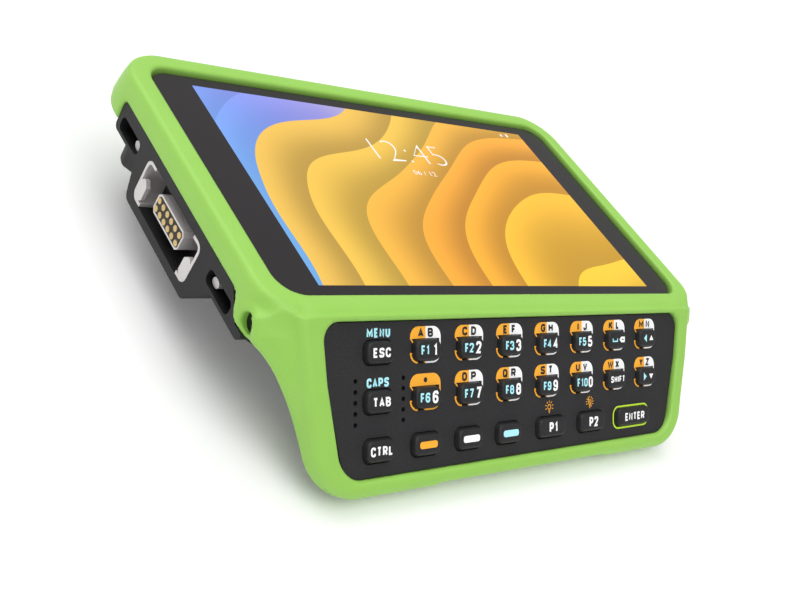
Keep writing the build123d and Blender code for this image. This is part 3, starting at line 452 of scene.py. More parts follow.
def surfaceOf(field, low, high, step, rounds=3, nudge=0.02, flattest=0.25):
    # the surface where a field of distances is zero: one point for each grid cell that it crosses, at the
    # mean of its crossings with the cell's edges, moved onto the surface along the slope of the field
    axes = [np.arange(a, b + step, step) for a, b in zip(low, high)]
    values = field(*np.meshgrid(*axes, indexing="ij", sparse=True))
    inside = values < 0
    size = np.array(values.shape) - 1
    corners = np.array([(i, j, k) for i in (0, 1) for j in (0, 1) for k in (0, 1)])
    count = sum(inside[tuple(map(slice, corner, corner + size))].astype(np.int8) for corner in corners)
    crossed = (count > 0) & (count < 8)
    cells = np.argwhere(crossed)
    number = np.full(size, -1)
    number[crossed] = np.arange(len(cells))
    total = np.zeros((len(cells), 3))
    hits = np.zeros(len(cells))
    for first in corners:
        for second in corners:
            if (second - first).sum() == 1 and np.abs(second - first).sum() == 1:
                a = values[tuple((cells + first).T)]
                b = values[tuple((cells + second).T)]
                hit = (a < 0) != (b < 0)
                share = np.where(hit, a / np.where(hit, a - b, 1), 0)
                total += hit[:, None] * (first + share[:, None] * (second - first))
                hits += hit
    points = np.array(low) + (cells + total / hits[:, None]) * step
    for _ in range(rounds):
        here = field(*points.T)
        rise = np.stack([field(*(points + nudge * axis).T) - field(*(points - nudge * axis).T)
                         for axis in np.eye(3)], axis=-1) / (2 * nudge)
        move = here[:, None] * rise / np.maximum((rise ** 2).sum(1, keepdims=True), flattest)
        points -= np.clip(move, -step / 2, step / 2)
    quads = []
    for axis in range(3):
        b, c = np.eye(3, dtype=int)[(axis + 1) % 3], np.eye(3, dtype=int)[(axis + 2) % 3]
        lower = [slice(1, -1)] * 3
        upper = [slice(1, -1)] * 3
        lower[axis], upper[axis] = slice(0, -1), slice(1, None)
        change = inside[tuple(lower)] != inside[tuple(upper)]
        spots = np.argwhere(change) + np.array([0 if i == axis else 1 for i in range(3)])
        quad = np.stack([number[tuple((spots - b - c).T)], number[tuple((spots - c).T)],
                         number[tuple(spots.T)], number[tuple((spots - b).T)]], axis=-1)
        outward = inside[tuple(spots.T)]
        quads.append(np.where(outward[:, None], quad, quad[:, ::-1]))
    return points, np.concatenate(quads)


# bumper
bumper = {
    "step": 0.4, "low": (-58.8, -52.4, -22.9), "high": (58.8, 33.8, 1.7),
    "frameHalfW": 58.3, "frameTop": 33.2, "frameBottom": -31.6, "topCorner": 10.0, "bottomCorner": 7.0,
    "frameDepth": 6.5, "topDepth": 0.45, "topDepthY": 10, "topDepthFade": 10, "sideInset": 0.35,
    # inset from the outline, height
    "leanFoot": (0.65, -2.7), "crest": (1.5, 0.95), "lip": (4.7, 1.1),
    "underTop": (0.35, -3.6), "underFoot": (0.7, -6.5), "endTop": (33.1, -0.6), "endFoot": (32.5, -6.9),
    "crestRound": 0.9, "leanRound": 0.8, "lipRound": 0.3, "endRound": 1.5, "underRound": 0.8,
    "underRise": 0.2, "underRiseY": -28.0,
    "ridgeHigh": 1.07, "ridgeCrest": (-31.2, 1.0), "ridgeFoot": (-32.3, -0.65), "ridgeHalfW": 51.0,
    "ridgeTop": -20, "ridgeLow": -5, "ridgeRound": 0.9, "ridgeEndRound": 3.0, "ridgeBlend": 1.2,
    "glassHalfW": 52.85, "glassMiddle": 0.175, "glassHalfH": 27.825, "glassCorner": 4.65,
    "glassRound": 0.85, "heightRound": 0.1,
    "wingHalfW": (52.4, 51.2, 47.6), "wingBend": 9.0, "wingLength": 27.07, "wingCorner": 7.0,
    "wingTop": -1.0, "wingLip": 0.9, "wingDepth": 4.6, "wedgeStart": 5.0, "wedge": 0.068,
    "flare": 4.6, "flareV": 3.8, "flareFade": 5.0, "flareTop": -0.4, "flareDepth": 3.2,
    "flareStart": 2.0, "flareInset": 0.2, "flareRound": 1.0,
    "sideRound": 1.8, "footRound": 1.4, "footV": 17, "footFade": 8, "backRound": 1.2, "blend": 2.5,
    "openHalfW": (47.95, 46.9, 43.4), "openFoot": 24.25, "openTop": -0.15, "openTopCorner": 3.15,
    "openCorner": 4.15, "openRound": 0.8,
    "windowZ": -2.7, "windowTop": 22.0, "windowSlant": ((-25.8, -6.2), (-23.5, -2.7)),
    "windowCorner": 1.2, "windowRound": 0.3,
    "screwY": -28.4, "screwZ": -4.3, "screwR": 1.72, "screwFloor": 54.7, "screwRound": 0.3,
    "screwLand": 2.3, "landHalfW": 56.8, "landStart": 50, "landBlend": 1.2,
    "notchHalfW": 23.0, "notchV": 26.7, "notchRound": 0.4,
}


def wingSides(b, u, v, halfW):
    # distance to the two straight stretches of each side of the wing
    upper = lineField(u, v, (halfW[0], b["wingTop"]), (halfW[1], b["wingBend"]))
    lower = lineField(u, v, (halfW[1], b["wingBend"]), (halfW[2], b["wingLength"]))
    return np.maximum(upper, lower)


def smooth(t):
    # from 0 to 1 with level ends: 3 t squared less 2 t cubed
    t = np.clip(t, 0, 1)
    return t * t * (3 - 2 * t)


def bumperField(x, y, z):
    # Screen frame: its outline leans in to a crest and then slopes up to the lip at the glass. Wing: an
    # outline that narrows down the slope, round at its upper edge and thinner towards its free end; its
    # sides flare out below, towards the frame. A ridge lies between glass and keypad. They run into each
    # other with soft corners, and the pocket of the glass, the keypad's opening, the low sides, the
    # screw seats and a shallow notch are cut away.
    b = bumper
    u = np.abs(x)
    v = -((y - place["wingY"]) * place["slopeCos"] + (z - place["wingZ"]) * place["slopeSin"])
    n = -(y - place["wingY"]) * place["slopeSin"] + (z - place["wingZ"]) * place["slopeCos"]
    middle = (b["frameTop"] + b["frameBottom"]) / 2
    corner = b["bottomCorner"] + (b["topCorner"] - b["bottomCorner"]) * (y > middle)
    rim = rectangleField(x, y - middle, b["frameHalfW"], (b["frameTop"] - b["frameBottom"]) / 2, corner)
    body = roundMax(rim + b["sideInset"], -lineField(-rim, z, b["leanFoot"], b["crest"]), b["leanRound"])
    body = roundMax(body, -lineField(-rim, z, b["crest"], b["lip"]), b["crestRound"])
    body = roundMax(body, z - b["lip"][1], b["lipRound"])
    body = np.maximum(body, lineField(-rim, z, b["underTop"], b["underFoot"]))
    body = roundMax(body, -lineField(y, z, b["endTop"], b["endFoot"]), b["endRound"])
    drop = b["topDepth"] * smooth((y - b["topDepthY"]) / b["topDepthFade"])
    underside = np.maximum(b["underRiseY"] - y, 0) * b["underRise"] - drop - b["frameDepth"]
    body = roundMax(body, underside - z, b["underRound"])
    (crestY, crestZ), (footY, footZ) = b["ridgeCrest"], b["ridgeFoot"]
    front = -lineField(-y, z, (-crestY, crestZ), (-footY, footZ))
    ridge = roundMax(front, z - b["ridgeHigh"], b["ridgeRound"])
    ridge = roundMax(ridge, u - b["ridgeHalfW"], b["ridgeEndRound"])
    ridge = np.maximum(np.maximum(ridge, y - b["ridgeTop"]), b["ridgeLow"] - z)
    flare = b["flare"] * np.exp((b["flareV"] - np.maximum(v, b["flareStart"])) / b["flareFade"])
    flare = flare * smooth((b["flareTop"] - n) / b["flareDepth"])
    sides = wingSides(b, u, v, b["wingHalfW"]) - flare
    sides = roundMax(sides, u - b["frameHalfW"] + b["sideInset"] + b["flareInset"], b["flareRound"])
    outline = roundMax(sides, v - b["wingLength"], b["wingCorner"])
    softness = b["sideRound"] + (b["footRound"] - b["sideRound"]) * smooth((v - b["footV"]) / b["footFade"])
    slab = roundMax(outline, n - b["wingLip"], softness)
    thin = np.maximum(v - b["wedgeStart"], 0) * b["wedge"]
    slab = roundMax(slab, -n - b["wingDepth"] + thin, b["backRound"])
    slab = np.maximum(slab, b["wingTop"] - v)
    body = roundMin(body, slab, b["blend"])
    body = roundMin(body, ridge, b["ridgeBlend"])
    body = roundMax(body, z - b["lip"][1], b["heightRound"])
    pocket = rectangleField(x, y - b["glassMiddle"], b["glassHalfW"], b["glassHalfH"], b["glassCorner"])
    body = roundMax(body, -pocket, b["glassRound"])
    opening = roundMax(wingSides(b, u, v, b["openHalfW"]), b["openTop"] - v, b["openTopCorner"])
    opening = roundMax(opening, v - b["openFoot"], b["openCorner"])
    body = roundMax(body, -opening, b["openRound"])
    window = roundMax(z - b["windowZ"], y - b["windowTop"], b["windowCorner"])
    window = roundMax(window, -lineField(y, z, *b["windowSlant"]), b["windowCorner"])
    body = roundMax(body, -window, b["windowRound"])
    fromScrew = np.hypot(y - b["screwY"], z - b["screwZ"])
    land = np.maximum(np.maximum(fromScrew - b["screwLand"], u - b["landHalfW"]), b["landStart"] - u)
    body = roundMin(body, land, b["landBlend"])
    seat = np.maximum(fromScrew - b["screwR"], b["screwFloor"] - u)
    body = roundMax(body, -seat, b["screwRound"])
    notch = roundMax(u - b["notchHalfW"], b["notchV"] - v, b["notchRound"])
    return roundMax(body, -notch, b["notchRound"])


points, quads = surfaceOf(bumperField, bumper["low"], bumper["high"], bumper["step"])
piece = addPiece("limeBumper", points + origin, quads, ["limeRubber"], "case")
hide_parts("bumper")
print("bumper:", len(quads), "quads")

# keys
keyCap = {
    "height": 3.8, "corner": 1.3, "rise": 0.95, "round": 0.45, "draft": 0.2, "dome": 0.03,
    "collar": 0.6, "collarLow": -1.7, "collarHigh": -1.23, "width": 6.1,
    "cornerLoss": 0.8, "leastCorner": 0.2, "core": 0.02,
}
rowsV = (4.75, 12.4, 20.0)
firstU, secondU, pitchU = -36.4, -25.98, 10.37
# key: middle u, middle v, width
keys = {name: (firstU, v, keyCap["width"]) for name, v in zip(("key_esc", "key_tab", "key_ctrl"), rowsV)}
rowNames = (("key_1", "key_2", "key_3", "key_4", "key_5", "key_space", "key_left_up"),
            ("key_6", "key_7", "key_8", "key_9", "key_0", "key_shift", "key_right_down"))
for rowV, names in zip(rowsV, rowNames):
    keys.update({name: (secondU + i * pitchU, rowV, keyCap["width"]) for i, name in enumerate(names)})
lastRow = {"key_orange": (-26.1, 6.3), "key_white": (-15.9, 6.3), "key_cyan": (-5.8, 6.3),
           "key_p1": (6.0, 8.0), "key_p2": (18.1, 8.0), "key_enter": (31.6, 11.1)}
keys.update({name: (u, rowsV[-1], width) for name, (u, width) in lastRow.items()})


def capSurface(width, k):
    # loops round the cap, from the middle of its underside over the collar, up its sloping side, round
    # the upper edge by an arc and in to the middle of the slightly domed top
    arc = np.linspace(0, math.pi / 2, 7)
    topInset = k["draft"] + k["round"] * (1 - np.cos(arc))
    topHeight = k["rise"] - k["round"] + k["round"] * np.sin(arc)
    inset = np.concatenate([[-k["collar"], -k["collar"], 0, 0], topInset])
    height = np.concatenate([[k["collarLow"], k["collarHigh"], k["collarHigh"], 0], topHeight])
    shrink = np.linspace(1, k["core"], 5)[1:]
    halfW, halfH = width / 2 - inset, k["height"] / 2 - inset
    corner = np.maximum(k["corner"] - inset * k["cornerLoss"], k["leastCorner"])
    x, y = roundedLoop(halfW, halfH, corner)
    innerX, innerY = x[-1] * shrink[:, None], y[-1] * shrink[:, None]
    footX, footY = x[:1] * k["core"], y[:1] * k["core"]
    x = np.concatenate([footX, x, innerX])
    y = np.concatenate([footY, y, innerY])
    z = np.concatenate([[k["collarLow"]], height, k["rise"] + k["dome"] * (1 - shrink ** 2)])
    return x, y, np.broadcast_to(z[:, None], x.shape)


for name, (u, v, width) in keys.items():
    x, y, z = capSurface(width, keyCap)
    rows, columns = x.shape
    points = onWing(u + x, v - y, z).reshape(-1, 3)
    faces = gridFaces(rows, columns).tolist()
    faces.append(list(range(columns))[::-1])
    faces.append(list(range((rows - 1) * columns, rows * columns)))
    capName = name.replace("key_", "cap_")
    piece = addPiece(capName, points, faces, ["capPlastic"], name, sharpAngle=50)
    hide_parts(name)
print("key caps:", len(keys))

# printed marks, legends
inkThickness = 0.02     # mm
inkGap = 0.005          # under the ink, so that it doesn't lie in the face it is printed on


def layered(loops):
    # the same loops of points twice, at the bottom and at the top of the ink
    flat = np.concatenate(loops)
    return np.concatenate([np.column_stack([flat, np.full(len(flat), h)]) for h in (0.0, inkThickness)])


def slabOf(outline):
    # a thin plate inside one loop of points
    outline = np.asarray(outline, float)
    count = len(outline)
    step = np.arange(count)
    after = (step + 1) % count
    faces = np.stack([step, after, after + count, step + count], -1).tolist()
    faces += [list(range(count))[::-1], list(range(count, 2 * count))]
    return layered([outline]), faces


def bandOf(outer, inner, closed=True):
    # a thin strip between two rows of points of the same number, the inner row on the left of the outer;
    # a closed strip runs on from its last points to its first
    count = len(outer)
    step = np.arange(count if closed else count - 1)
    after = (step + 1) % count
    far, farAfter, rise = step + count, after + count, 2 * count
    sides = [(step, after, after + rise, step + rise), (farAfter, far, far + rise, farAfter + rise),
             (step + rise, after + rise, farAfter + rise, far + rise), (after, step, far, farAfter)]
    faces = np.concatenate([np.stack(side, -1) for side in sides]).tolist()
    if not closed:
        last = count - 1
        faces += [[count, 0, rise, count + rise], [last, last + count, last + count + rise, last + rise]]
    return layered([outer, inner]), faces


def circle(x, y, radius, count=20):
    turn = np.arange(count) * 2 * math.pi / count
    return np.column_stack([x + radius * np.cos(turn), y + radius * np.sin(turn)])


def bar(x, y, width, height, radius=None, angle=0.0):
    radius = min(width, height) / 2 if radius is None else radius
    loopX, loopY = roundedLoop(width / 2, height / 2, radius, 4)
    c, s = math.cos(angle), math.sin(angle)
    return np.column_stack([x + loopX * c - loopY * s, y + loopX * s + loopY * c])


def lettering(text, width, height, weight):
    # a word as a thin plate, fitted to a width and a height in mm, its middle at the origin
    curve = bpy.data.curves.new("lettering", "FONT")
    curve.body = text
    curve.offset = weight
    curve.extrude = 0.5
    curve.resolution_u = 4
    thing = bpy.data.objects.new("lettering", curve)
    bpy.context.scene.collection.objects.link(thing)
    bpy.context.view_layer.update()
    mesh = bpy.data.meshes.new_from_object(thing.evaluated_get(bpy.context.evaluated_depsgraph_get()))
    points = np.empty(len(mesh.vertices) * 3)
    mesh.vertices.foreach_get("co", points)
    points = points.reshape(-1, 3)
    faces = [list(polygon.vertices) for polygon in mesh.polygons]
    bpy.data.objects.remove(thing)
    bpy.data.curves.remove(curve)
    bpy.data.meshes.remove(mesh)
    low, high = points.min(0), points.max(0)
    points = (points - (low + high) / 2) / (high - low) * (width, height, inkThickness)
    return points + (0, 0, inkThickness / 2), faces


# Letters and digits as strokes in a unit box: x, y and, at a round corner, its radius. A stroke that
# ends where it begins is a closed loop.
half, full = 0.24, 0.45
around = [(0, 0.5), (0, 1, full), (1, 1, full), (1, 0, full), (0, 0, full), (0, 0.5)]
glyphs = {
    "A": [[(0, 0), (0.5, 1), (1, 0)], [(0.2, 0.3), (0.8, 0.3)]],
    "B": [[(0, 0), (0, 1), (0.95, 1, half), (0.95, 0.52, half), (0, 0.52)],
          [(0, 0.52), (1, 0.52, half), (1, 0, half), (0, 0)]],
    "C": [[(1, 0.7), (1, 1, full), (0, 1, full), (0, 0, full), (1, 0, full), (1, 0.3)]],
    "D": [[(0, 0), (0, 1), (1, 1, full), (1, 0, full), (0, 0)]],
    "E": [[(1, 1), (0, 1), (0, 0), (1, 0)], [(0, 0.5), (0.85, 0.5)]],
    "F": [[(1, 1), (0, 1), (0, 0)], [(0, 0.5), (0.85, 0.5)]],
    "G": [[(1, 0.72), (1, 1, full), (0, 1, full), (0, 0, full), (1, 0, 0.3), (1, 0.46), (0.55, 0.46)]],
    "H": [[(0, 0), (0, 1)], [(1, 0), (1, 1)], [(0, 0.5), (1, 0.5)]],
    "I": [[(0.5, 0), (0.5, 1)]],
    "J": [[(1, 1), (1, 0, full), (0, 0, full), (0, 0.3)]],
    "K": [[(0, 0), (0, 1)], [(1, 1), (0.02, 0.38)], [(0.38, 0.6), (1, 0)]],
    "L": [[(0, 1), (0, 0), (1, 0)]],
    "M": [[(0, 0), (0, 1), (0.5, 0.25), (1, 1), (1, 0)]],
    "N": [[(0, 0), (0, 1), (1, 0), (1, 1)]],
    "O": [around],
    "P": [[(0, 0), (0, 1), (1, 1, half), (1, 0.44, half), (0, 0.44)]],
    "Q": [around, [(0.6, 0.3), (1.1, -0.08)]],
    "R": [[(0, 0), (0, 1), (1, 1, half), (1, 0.46, half), (0, 0.46)], [(0.5, 0.46), (1, 0)]],
    "S": [[(1, 0.76), (1, 1, full), (0, 1, half), (0, 0.52, half), (1, 0.48, half), (1, 0, half),
           (0, 0, full), (0, 0.24)]],
    "T": [[(0, 1), (1, 1)], [(0.5, 1), (0.5, 0)]],
    "U": [[(0, 1), (0, 0, full), (1, 0, full), (1, 1)]],
    "V": [[(0, 1), (0.5, 0), (1, 1)]],
    "W": [[(0, 1), (0.25, 0), (0.5, 0.85), (0.75, 0), (1, 1)]],
    "X": [[(0, 0), (1, 1)], [(0, 1), (1, 0)]],
    "Y": [[(0, 1), (0.5, 0.45), (1, 1)], [(0.5, 0.45), (0.5, 0)]],
    "Z": [[(0, 1), (1, 1), (0, 0), (1, 0)]],
    "0": [around],
    "1": [[(0.1, 0.78), (0.7, 1), (0.7, 0)]],
    "2": [[(0, 0.74), (0, 1, full), (1, 1, full), (1, 0.62, half), (0, 0), (1, 0)]],
    "3": [[(0, 0.76), (0, 1, full), (0.95, 1, half), (0.95, 0.53, half), (0.4, 0.53)],
          [(0.4, 0.53), (1, 0.53, half), (1, 0, half), (0, 0, full), (0, 0.24)]],
    "4": [[(0.75, 0), (0.75, 1), (0, 0.28), (1, 0.28)]],
    "5": [[(0.95, 1), (0.08, 1), (0.04, 0.55), (1, 0.6, half), (1, 0, full), (0, 0, full), (0, 0.24)]],
    "6": [[(1, 0.76), (1, 1, full), (0, 1, full), (0, 0, full), (1, 0, half), (1, 0.57, half),
           (0, 0.57)]],
    "7": [[(0, 1), (1, 1), (0.35, 0)]],
    "8": [[(0.5, 0.53), (0.04, 0.53, half), (0.04, 1, half), (0.96, 1, half), (0.96, 0.53, half),
           (0.5, 0.53)],
          [(0.5, 0.53), (0, 0.53, half), (0, 0, half), (1, 0, half), (1, 0.53, half), (0.5, 0.53)]],
    "9": [[(0, 0.24), (0, 0, full), (1, 0, full), (1, 1, full), (0, 1, half), (0, 0.43, half),
           (1, 0.43)]],
}
# share of the common letter width
narrow = {"I": 0.3, "1": 0.72, "M": 1.3, "W": 1.45, "E": 0.88, "F": 0.85, "L": 0.85, "T": 0.95,
          "J": 0.85}


def strokePath(stroke, width, height, pull=0.85, steps=6):
    # the corners of one stroke at their real size; a round corner becomes a short bent stretch between
    # two points at its radius from the corner, following a parabola
    spots = np.array([spot[:2] for spot in stroke], float) * (width, height)
    path = [spots[0]]
    for i in range(1, len(stroke) - 1):
        if len(stroke[i]) == 2:
            path.append(spots[i])
            continue
        before, after = spots[i - 1] - spots[i], spots[i + 1] - spots[i]
        reach = min(stroke[i][2] * height, width / 2, np.hypot(*before) * 0.5, np.hypot(*after) * 0.5)
        start = spots[i] + before / np.hypot(*before) * reach
        end = spots[i] + after / np.hypot(*after) * reach
        bend = spots[i] * pull + (start + end) * (1 - pull) / 2
        t = np.linspace(0, 1, steps)[:, None]
        path += list((1 - t) ** 2 * start + 2 * t * (1 - t) * bend + t * t * end)
    path.append(spots[-1])
    return np.array(path)


def strokeSlab(path, weight, sharpest=0.45):
    # the path widened by half the weight to each side, with its corners mitred, the sharpest ones less
    closed = np.allclose(path[0], path[-1])
    if closed:
        path = path[:-1]
    ahead = np.roll(path, -1, axis=0) - path
    ahead /= np.maximum(np.hypot(*ahead.T), 1e-9)[:, None]
    behind = np.roll(ahead, 1, axis=0)
    if not closed:
        ahead[-1], behind[0] = behind[-1], ahead[0]
    sideAhead = np.column_stack([-ahead[:, 1], ahead[:, 0]])
    sideBehind = np.column_stack([-behind[:, 1], behind[:, 0]])
    mitre = (sideAhead + sideBehind) / np.maximum(1 + (sideAhead * sideBehind).sum(1), sharpest)[:, None]
    left, right = path + mitre * weight / 2, path - mitre * weight / 2
    if not closed:
        return slabOf(np.concatenate([right, left[::-1]]))
    turn = (path[:, 0] * np.roll(path[:, 1], -1) - path[:, 1] * np.roll(path[:, 0], -1)).sum()
    return bandOf(right, left) if turn > 0 else bandOf(left[::-1], right[::-1])


def strokeText(text, height, weight, letterW, gap=0.3):
    # a word in drawn letters; each letter's box is its share of the letter width, and gap lies between
    widths = [letterW * narrow.get(letter, 1.0) for letter in text]
    spot = -(sum(widths) + gap * (len(text) - 1)) / 2
    points, faces, count = [], [], 0
    for letter, width in zip(text, widths):
        for stroke in glyphs[letter]:
            path = strokePath(stroke, max(width - weight, 0.01), height - weight)
            flat, quads = strokeSlab(path + (spot + weight / 2, weight / 2 - height / 2), weight)
            points.append(flat)
            faces += [[i + count for i in face] for face in quads]
            count += len(flat)
        spot += width + gap
    return np.concatenate(points), faces


def printOn(name, marks, body, spot):
    # marks: (ink, points and faces in the plane, x, y); spot turns them into places on the part
    points, faces, inkOf, names = [], [], [], []
    count = 0
    for ink, (flat, quads), x, y in marks:
        if ink not in names:
            names.append(ink)
        points.append(spot(flat[:, 0] + x, flat[:, 1] + y, flat[:, 2]))
        faces += [[i + count for i in face] for face in quads]
        inkOf += [names.index(ink)] * len(quads)
        count += len(flat)
    return addPiece(name, np.concatenate(points), faces, names, body, inkOf, sharpAngle=0)


def raised(shape):
    # the same shape one layer of ink higher
    return shape[0] + (0, 0, inkThickness), shape[1]


def panelSpot(x, y, z):
    return onWing(x, -y, z + inkGap)


ring = {
    "width": 7.0, "top": -0.93, "height": 5.96, "corner": 1.75, "line": 0.3, "tab": 1.97,
    "left": -29.49, "pitch": 10.36, "rowStep": 7.63,
    "letterH": 1.5, "letterLine": 0.4, "letterW": 1.25, "letterU": 1.1, "letterDrop": 1.03, "dot": 0.42,
}
pairs = ["AB", "CD", "EF", "GH", "IJ", "KL", "MN", ".", "OP", "QR", "ST", "UV", "WX", "YZ"]
ringLetters = (pairs[:7], pairs[7:])


def ringMarks(r, middleU, topY, halves, letters):
    # a frame round a key with a filled tab on top: its left half in one ink, its right half in the other
    halfW, halfH = r["width"] / 2, r["height"] / 2
    outerX, outerY = roundedLoop(halfW, halfH, r["corner"])
    innerX, innerY = roundedLoop(halfW - r["line"], halfH - r["line"], r["corner"] - r["line"])
    tabLow = halfH - r["tab"]
    middleY = topY - halfH
    marks = []
    for side, ink in zip((-1, 1), halves):
        pick = np.flatnonzero(outerX * side >= -1e-9)
        order = pick[np.argsort(np.arctan2(outerX[pick] * side, outerY[pick]))]
        outer = np.column_stack([outerX[order], outerY[order]])
        inner = np.column_stack([innerX[order], innerY[order]])
        low = outer[:, 1] <= tabLow
        edge = np.array([[side * halfW, tabLow]])
        tab = np.concatenate([outer[~low], edge, [[0.0, tabLow]]])
        outerBand = np.concatenate([edge, outer[low]])
        innerBand = np.concatenate([edge - (side * r["line"], 0), inner[low]])
        marks.append((ink, slabOf(tab[::-side]), middleU, middleY))
        marks.append((ink, bandOf(outerBand[::-side], innerBand[::-side], closed=False), middleU, middleY))
    marks += [("inkDark", raised(shape), middleU + x, topY - r["letterDrop"]) for shape, x in letters]
    return marks


panelMarks = []
for row, rowLetters in enumerate(ringLetters):
    for column, pair in enumerate(rowLetters):
        middleU = ring["left"] + ring["width"] / 2 + column * ring["pitch"]
        topY = ring["top"] - row * ring["rowStep"]
        if pair == ".":
            halves = ("inkOrange", "inkOrange")
            letters = [(slabOf(circle(0, 0, ring["dot"])), 0)]
        else:
            halves = ("inkOrange", "inkWhite")
            letters = [(strokeText(letter, ring["letterH"], ring["letterLine"], ring["letterW"]),
                        side * ring["letterU"]) for letter, side in zip(pair, (-1, 1))]
        panelMarks += ringMarks(ring, middleU, topY, halves, letters)
captions = {"height": 1.5, "line": 0.36, "letterW": 1.0}
for text, gap, x, y in (("MENU", 0.26, -36.3, -1.72), ("CAPS", 0.22, -36.4, -9.45)):
    shape = strokeText(text, captions["height"], captions["line"], captions["letterW"], gap)
    panelMarks.append(("inkCyan", shape, x, y))
enter = {"halfW": 6.05, "halfH": 2.25, "corner": 1.75, "line": 0.32, "u": 31.6, "y": -20.05}
enterSizes = np.array([enter["halfW"], enter["halfH"], enter["corner"]])
enterLoops = [np.column_stack(roundedLoop(*(enterSizes - inset))) for inset in (0, enter["line"])]
panelMarks.append(("inkLime", bandOf(*enterLoops), enter["u"], enter["y"]))
# a lamp with its rays over each of the two light keys; the second one is struck through
bulb = {
    "y": -16.5, "lift": 0.12, "outer": 0.52, "inner": 0.36, "socket": (-0.62, 0.5, 0.22),
    "tip": (-0.92, 0.3, 0.18), "rayAt": 0.98, "rayLength": 0.42, "rayWidth": 0.15, "fanStart": -20,
    "fan": 220, "slash": (0.05, 0.16, 2.0), "slashAngle": 0.6,
}
for bulbU, rays in ((5.9, 7), (18.1, 9)):
    shapes = [bandOf(*(circle(0, bulb["lift"], bulb[part]) for part in ("outer", "inner")))]
    shapes += [slabOf(bar(0, *bulb[part])) for part in ("socket", "tip")]
    for ray in range(rays):
        angle = math.radians(bulb["fanStart"] + ray * bulb["fan"] / (rays - 1))
        x, y = math.cos(angle) * bulb["rayAt"], bulb["lift"] + math.sin(angle) * bulb["rayAt"]
        shapes.append(slabOf(bar(x, y, bulb["rayLength"], bulb["rayWidth"], angle=angle)))
    panelMarks += [("inkOrange", shape, bulbU, bulb["y"]) for shape in shapes]
slash = slabOf(bar(0, *bulb["slash"], angle=bulb["slashAngle"]))
panelMarks.append(("inkOrange", slash, bulbU, bulb["y"]))
printOn("panelPrint", panelMarks, "case", panelSpot)
print("panel print:", len(panelMarks), "marks")

# key: word, height, width of a letter
words = {"key_esc": ("ESC", 1.5, 1.07), "key_tab": ("TAB", 1.5, 1.07), "key_ctrl": ("CTRL", 1.5, 1.0),
         "key_p1": ("P1", 1.9, 1.2), "key_p2": ("P2", 1.9, 1.2), "key_enter": ("ENTER", 1.55, 1.15),
         "key_shift": ("SHIFT", 1.25, 0.88)}
wordLine, wordGap = 0.22, 0.18          # shares of a word's height
# height, line, letter width and gap
functionLetters = (1.6, 0.32, 1.05, 0.2)
digitLetters = (2.05, 0.42, 1.3)
functionU, digitU, lastDigitU = -0.95, 1.35, 1.55
# bars: x, y, width, height, corner
colourBar = (0, 0, 4.0, 1.15, 0.45)
spaceBars = ((-0.95, -0.3, 1.7, 0.24, 0.05), (-1.68, -0.02, 0.24, 0.6, 0.05), (-0.22, -0.02, 0.24, 0.6, 0.05))
backspaceDash = (1.45, 0, 0.62, 0.2, 0.05)
backspace = [(0.95, -0.55), (2.15, -0.55), (2.15, 0.55), (0.95, 0.55), (0.45, 0)]
arrow = [(-0.6, -0.8), (-0.6, 0.8), (-1.55, 0)]             # points left
smallArrow = [(0.3, -0.45), (1.7, -0.45), (1.0, 0.55)]      # points up
for name, (u, v, width) in keys.items():
    tail = name[4:]
    if name in words:
        word, wordH, letterW = words[name]
        marks = [("inkWhite", strokeText(word, wordH, wordH * wordLine, letterW, wordH * wordGap), 0, 0)]
    elif tail.isdigit():
        label = "F10" if tail == "0" else "F" + tail
        marks = [("inkCyan", strokeText(label, *functionLetters), functionU, 0),
                 ("inkWhite", strokeText(tail, *digitLetters), lastDigitU if tail == "0" else digitU, 0)]
    elif tail in ("orange", "white", "cyan"):
        marks = [("ink" + tail.capitalize(), slabOf(bar(*colourBar)), 0, 0)]
    elif tail == "space":
        marks = [("inkCyan", slabOf(bar(*spaceBar)), 0, 0) for spaceBar in spaceBars]
        marks.append(("inkWhite", slabOf(backspace), 0, 0))
        marks.append(("inkDark", raised(slabOf(bar(*backspaceDash))), 0, 0))
    elif tail == "left_up":
        marks = [("inkCyan", slabOf(arrow), 0, 0), ("inkWhite", slabOf(smallArrow), 0, 0)]
    else:
        turned = [(arrow[0][0] + arrow[2][0] - x, y) for x, y in arrow[::-1]]
        downwards = [(x, -y) for x, y in smallArrow[::-1]]
        marks = [("inkCyan", slabOf(turned), 0, 0), ("inkWhite", slabOf(downwards), 0, 0)]
    lift = keyCap["rise"] + keyCap["dome"] + inkGap
    printOn("legend_" + tail, marks, name,
            lambda x, y, z, u=u, v=v, lift=lift: onWing(u + x, v - y, z + lift))
print("legends:", len(keys))

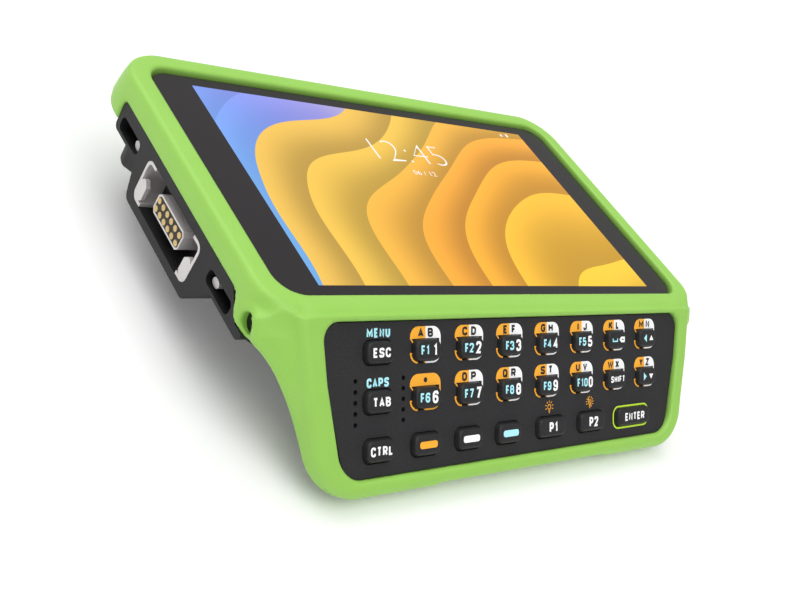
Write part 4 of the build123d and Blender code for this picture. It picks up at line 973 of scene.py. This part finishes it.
clock = {
    "time": "12:45", "timeAt": (0.4, 12.4), "timeSize": (19.5, 6.3), "timeWeight": -0.03,
    "date": "06 / 12", "dateAt": (0.6, 6.3), "dateSize": (6.2, 1.3), "dateWeight": -0.01,
}
screenMarks = []
for row in ("time", "date"):
    shape = lettering(clock[row], *clock[row + "Size"], clock[row + "Weight"])
    screenMarks.append(("screenWhite", shape, *clock[row + "At"]))
for outline in ([(36.6, 23.2), (37.6, 23.2), (37.1, 24.1)], bar(39.2, 23.7, 0.6, 1.1, 0.1)):
    screenMarks.append(("screenWhite", slabOf(outline), 0, 0))      # signal and battery
printOn("screenMarks", screenMarks, "case",
        lambda x, y, z: np.stack([x, y, z + inkGap], axis=-1) + origin)

# floor
ground = {"half": 3000.0, "height": -0.02, "colour": "#F4F4F4", "glow": 0.12, "fibre": 0.3}


def floorMaterial(name, look):
    # matt white paper sweep; the camera and reflections see it a little brighter than its shadow side
    material, tree = newMaterial(name)
    paper = addNode(tree, "ShaderNodeTexNoise", {"Scale": 1 / look["fibre"], "Detail": 2.0},
                    {"Vector": addNode(tree, "ShaderNodeTexCoord").outputs["Object"]})
    tint = addNode(tree, "ShaderNodeMix",
                   {"data_type": "RGBA", 6: toLinear(look["colour"]), 7: toLinear("#FFFFFF")}, {0: paper})
    diffuse = addNode(tree, "ShaderNodeBsdfDiffuse", {"Roughness": 0.0}, {"Color": tint.outputs[2]})
    path = addNode(tree, "ShaderNodeLightPath")
    found = {ray: path.outputs[f"Is {ray} Ray"] for ray in ("Camera", "Glossy", "Transmission")}
    addSums(tree, found, [("first", "MAXIMUM", "Camera", "Glossy"),
                          ("seen", "MAXIMUM", "first", "Transmission"),
                          ("strength", "MULTIPLY", "seen", look["glow"])])
    glow = addNode(tree, "ShaderNodeEmission", {"Color": (1, 1, 1, 1)}, {"Strength": found["strength"]})
    both = addNode(tree, "ShaderNodeAddShader", links={0: diffuse, 1: glow})
    addNode(tree, "ShaderNodeOutputMaterial", links={"Surface": both})
    return material


finishes["paperFloor"] = floorMaterial("paperFloor", ground)
signs = ((-1, -1), (1, -1), (1, 1), (-1, 1))
corners = np.array([(x * ground["half"], y * ground["half"], ground["height"]) for x, y in signs])
mesh = bpy.data.meshes.new("floor")
mesh.from_pydata((corners * mm).tolist(), [], [[0, 1, 2, 3]])
mesh.materials.append(finishes["paperFloor"])
floor = bpy.data.objects.new("floor", mesh)
bpy.context.scene.collection.objects.link(floor)
print("floor is laid")
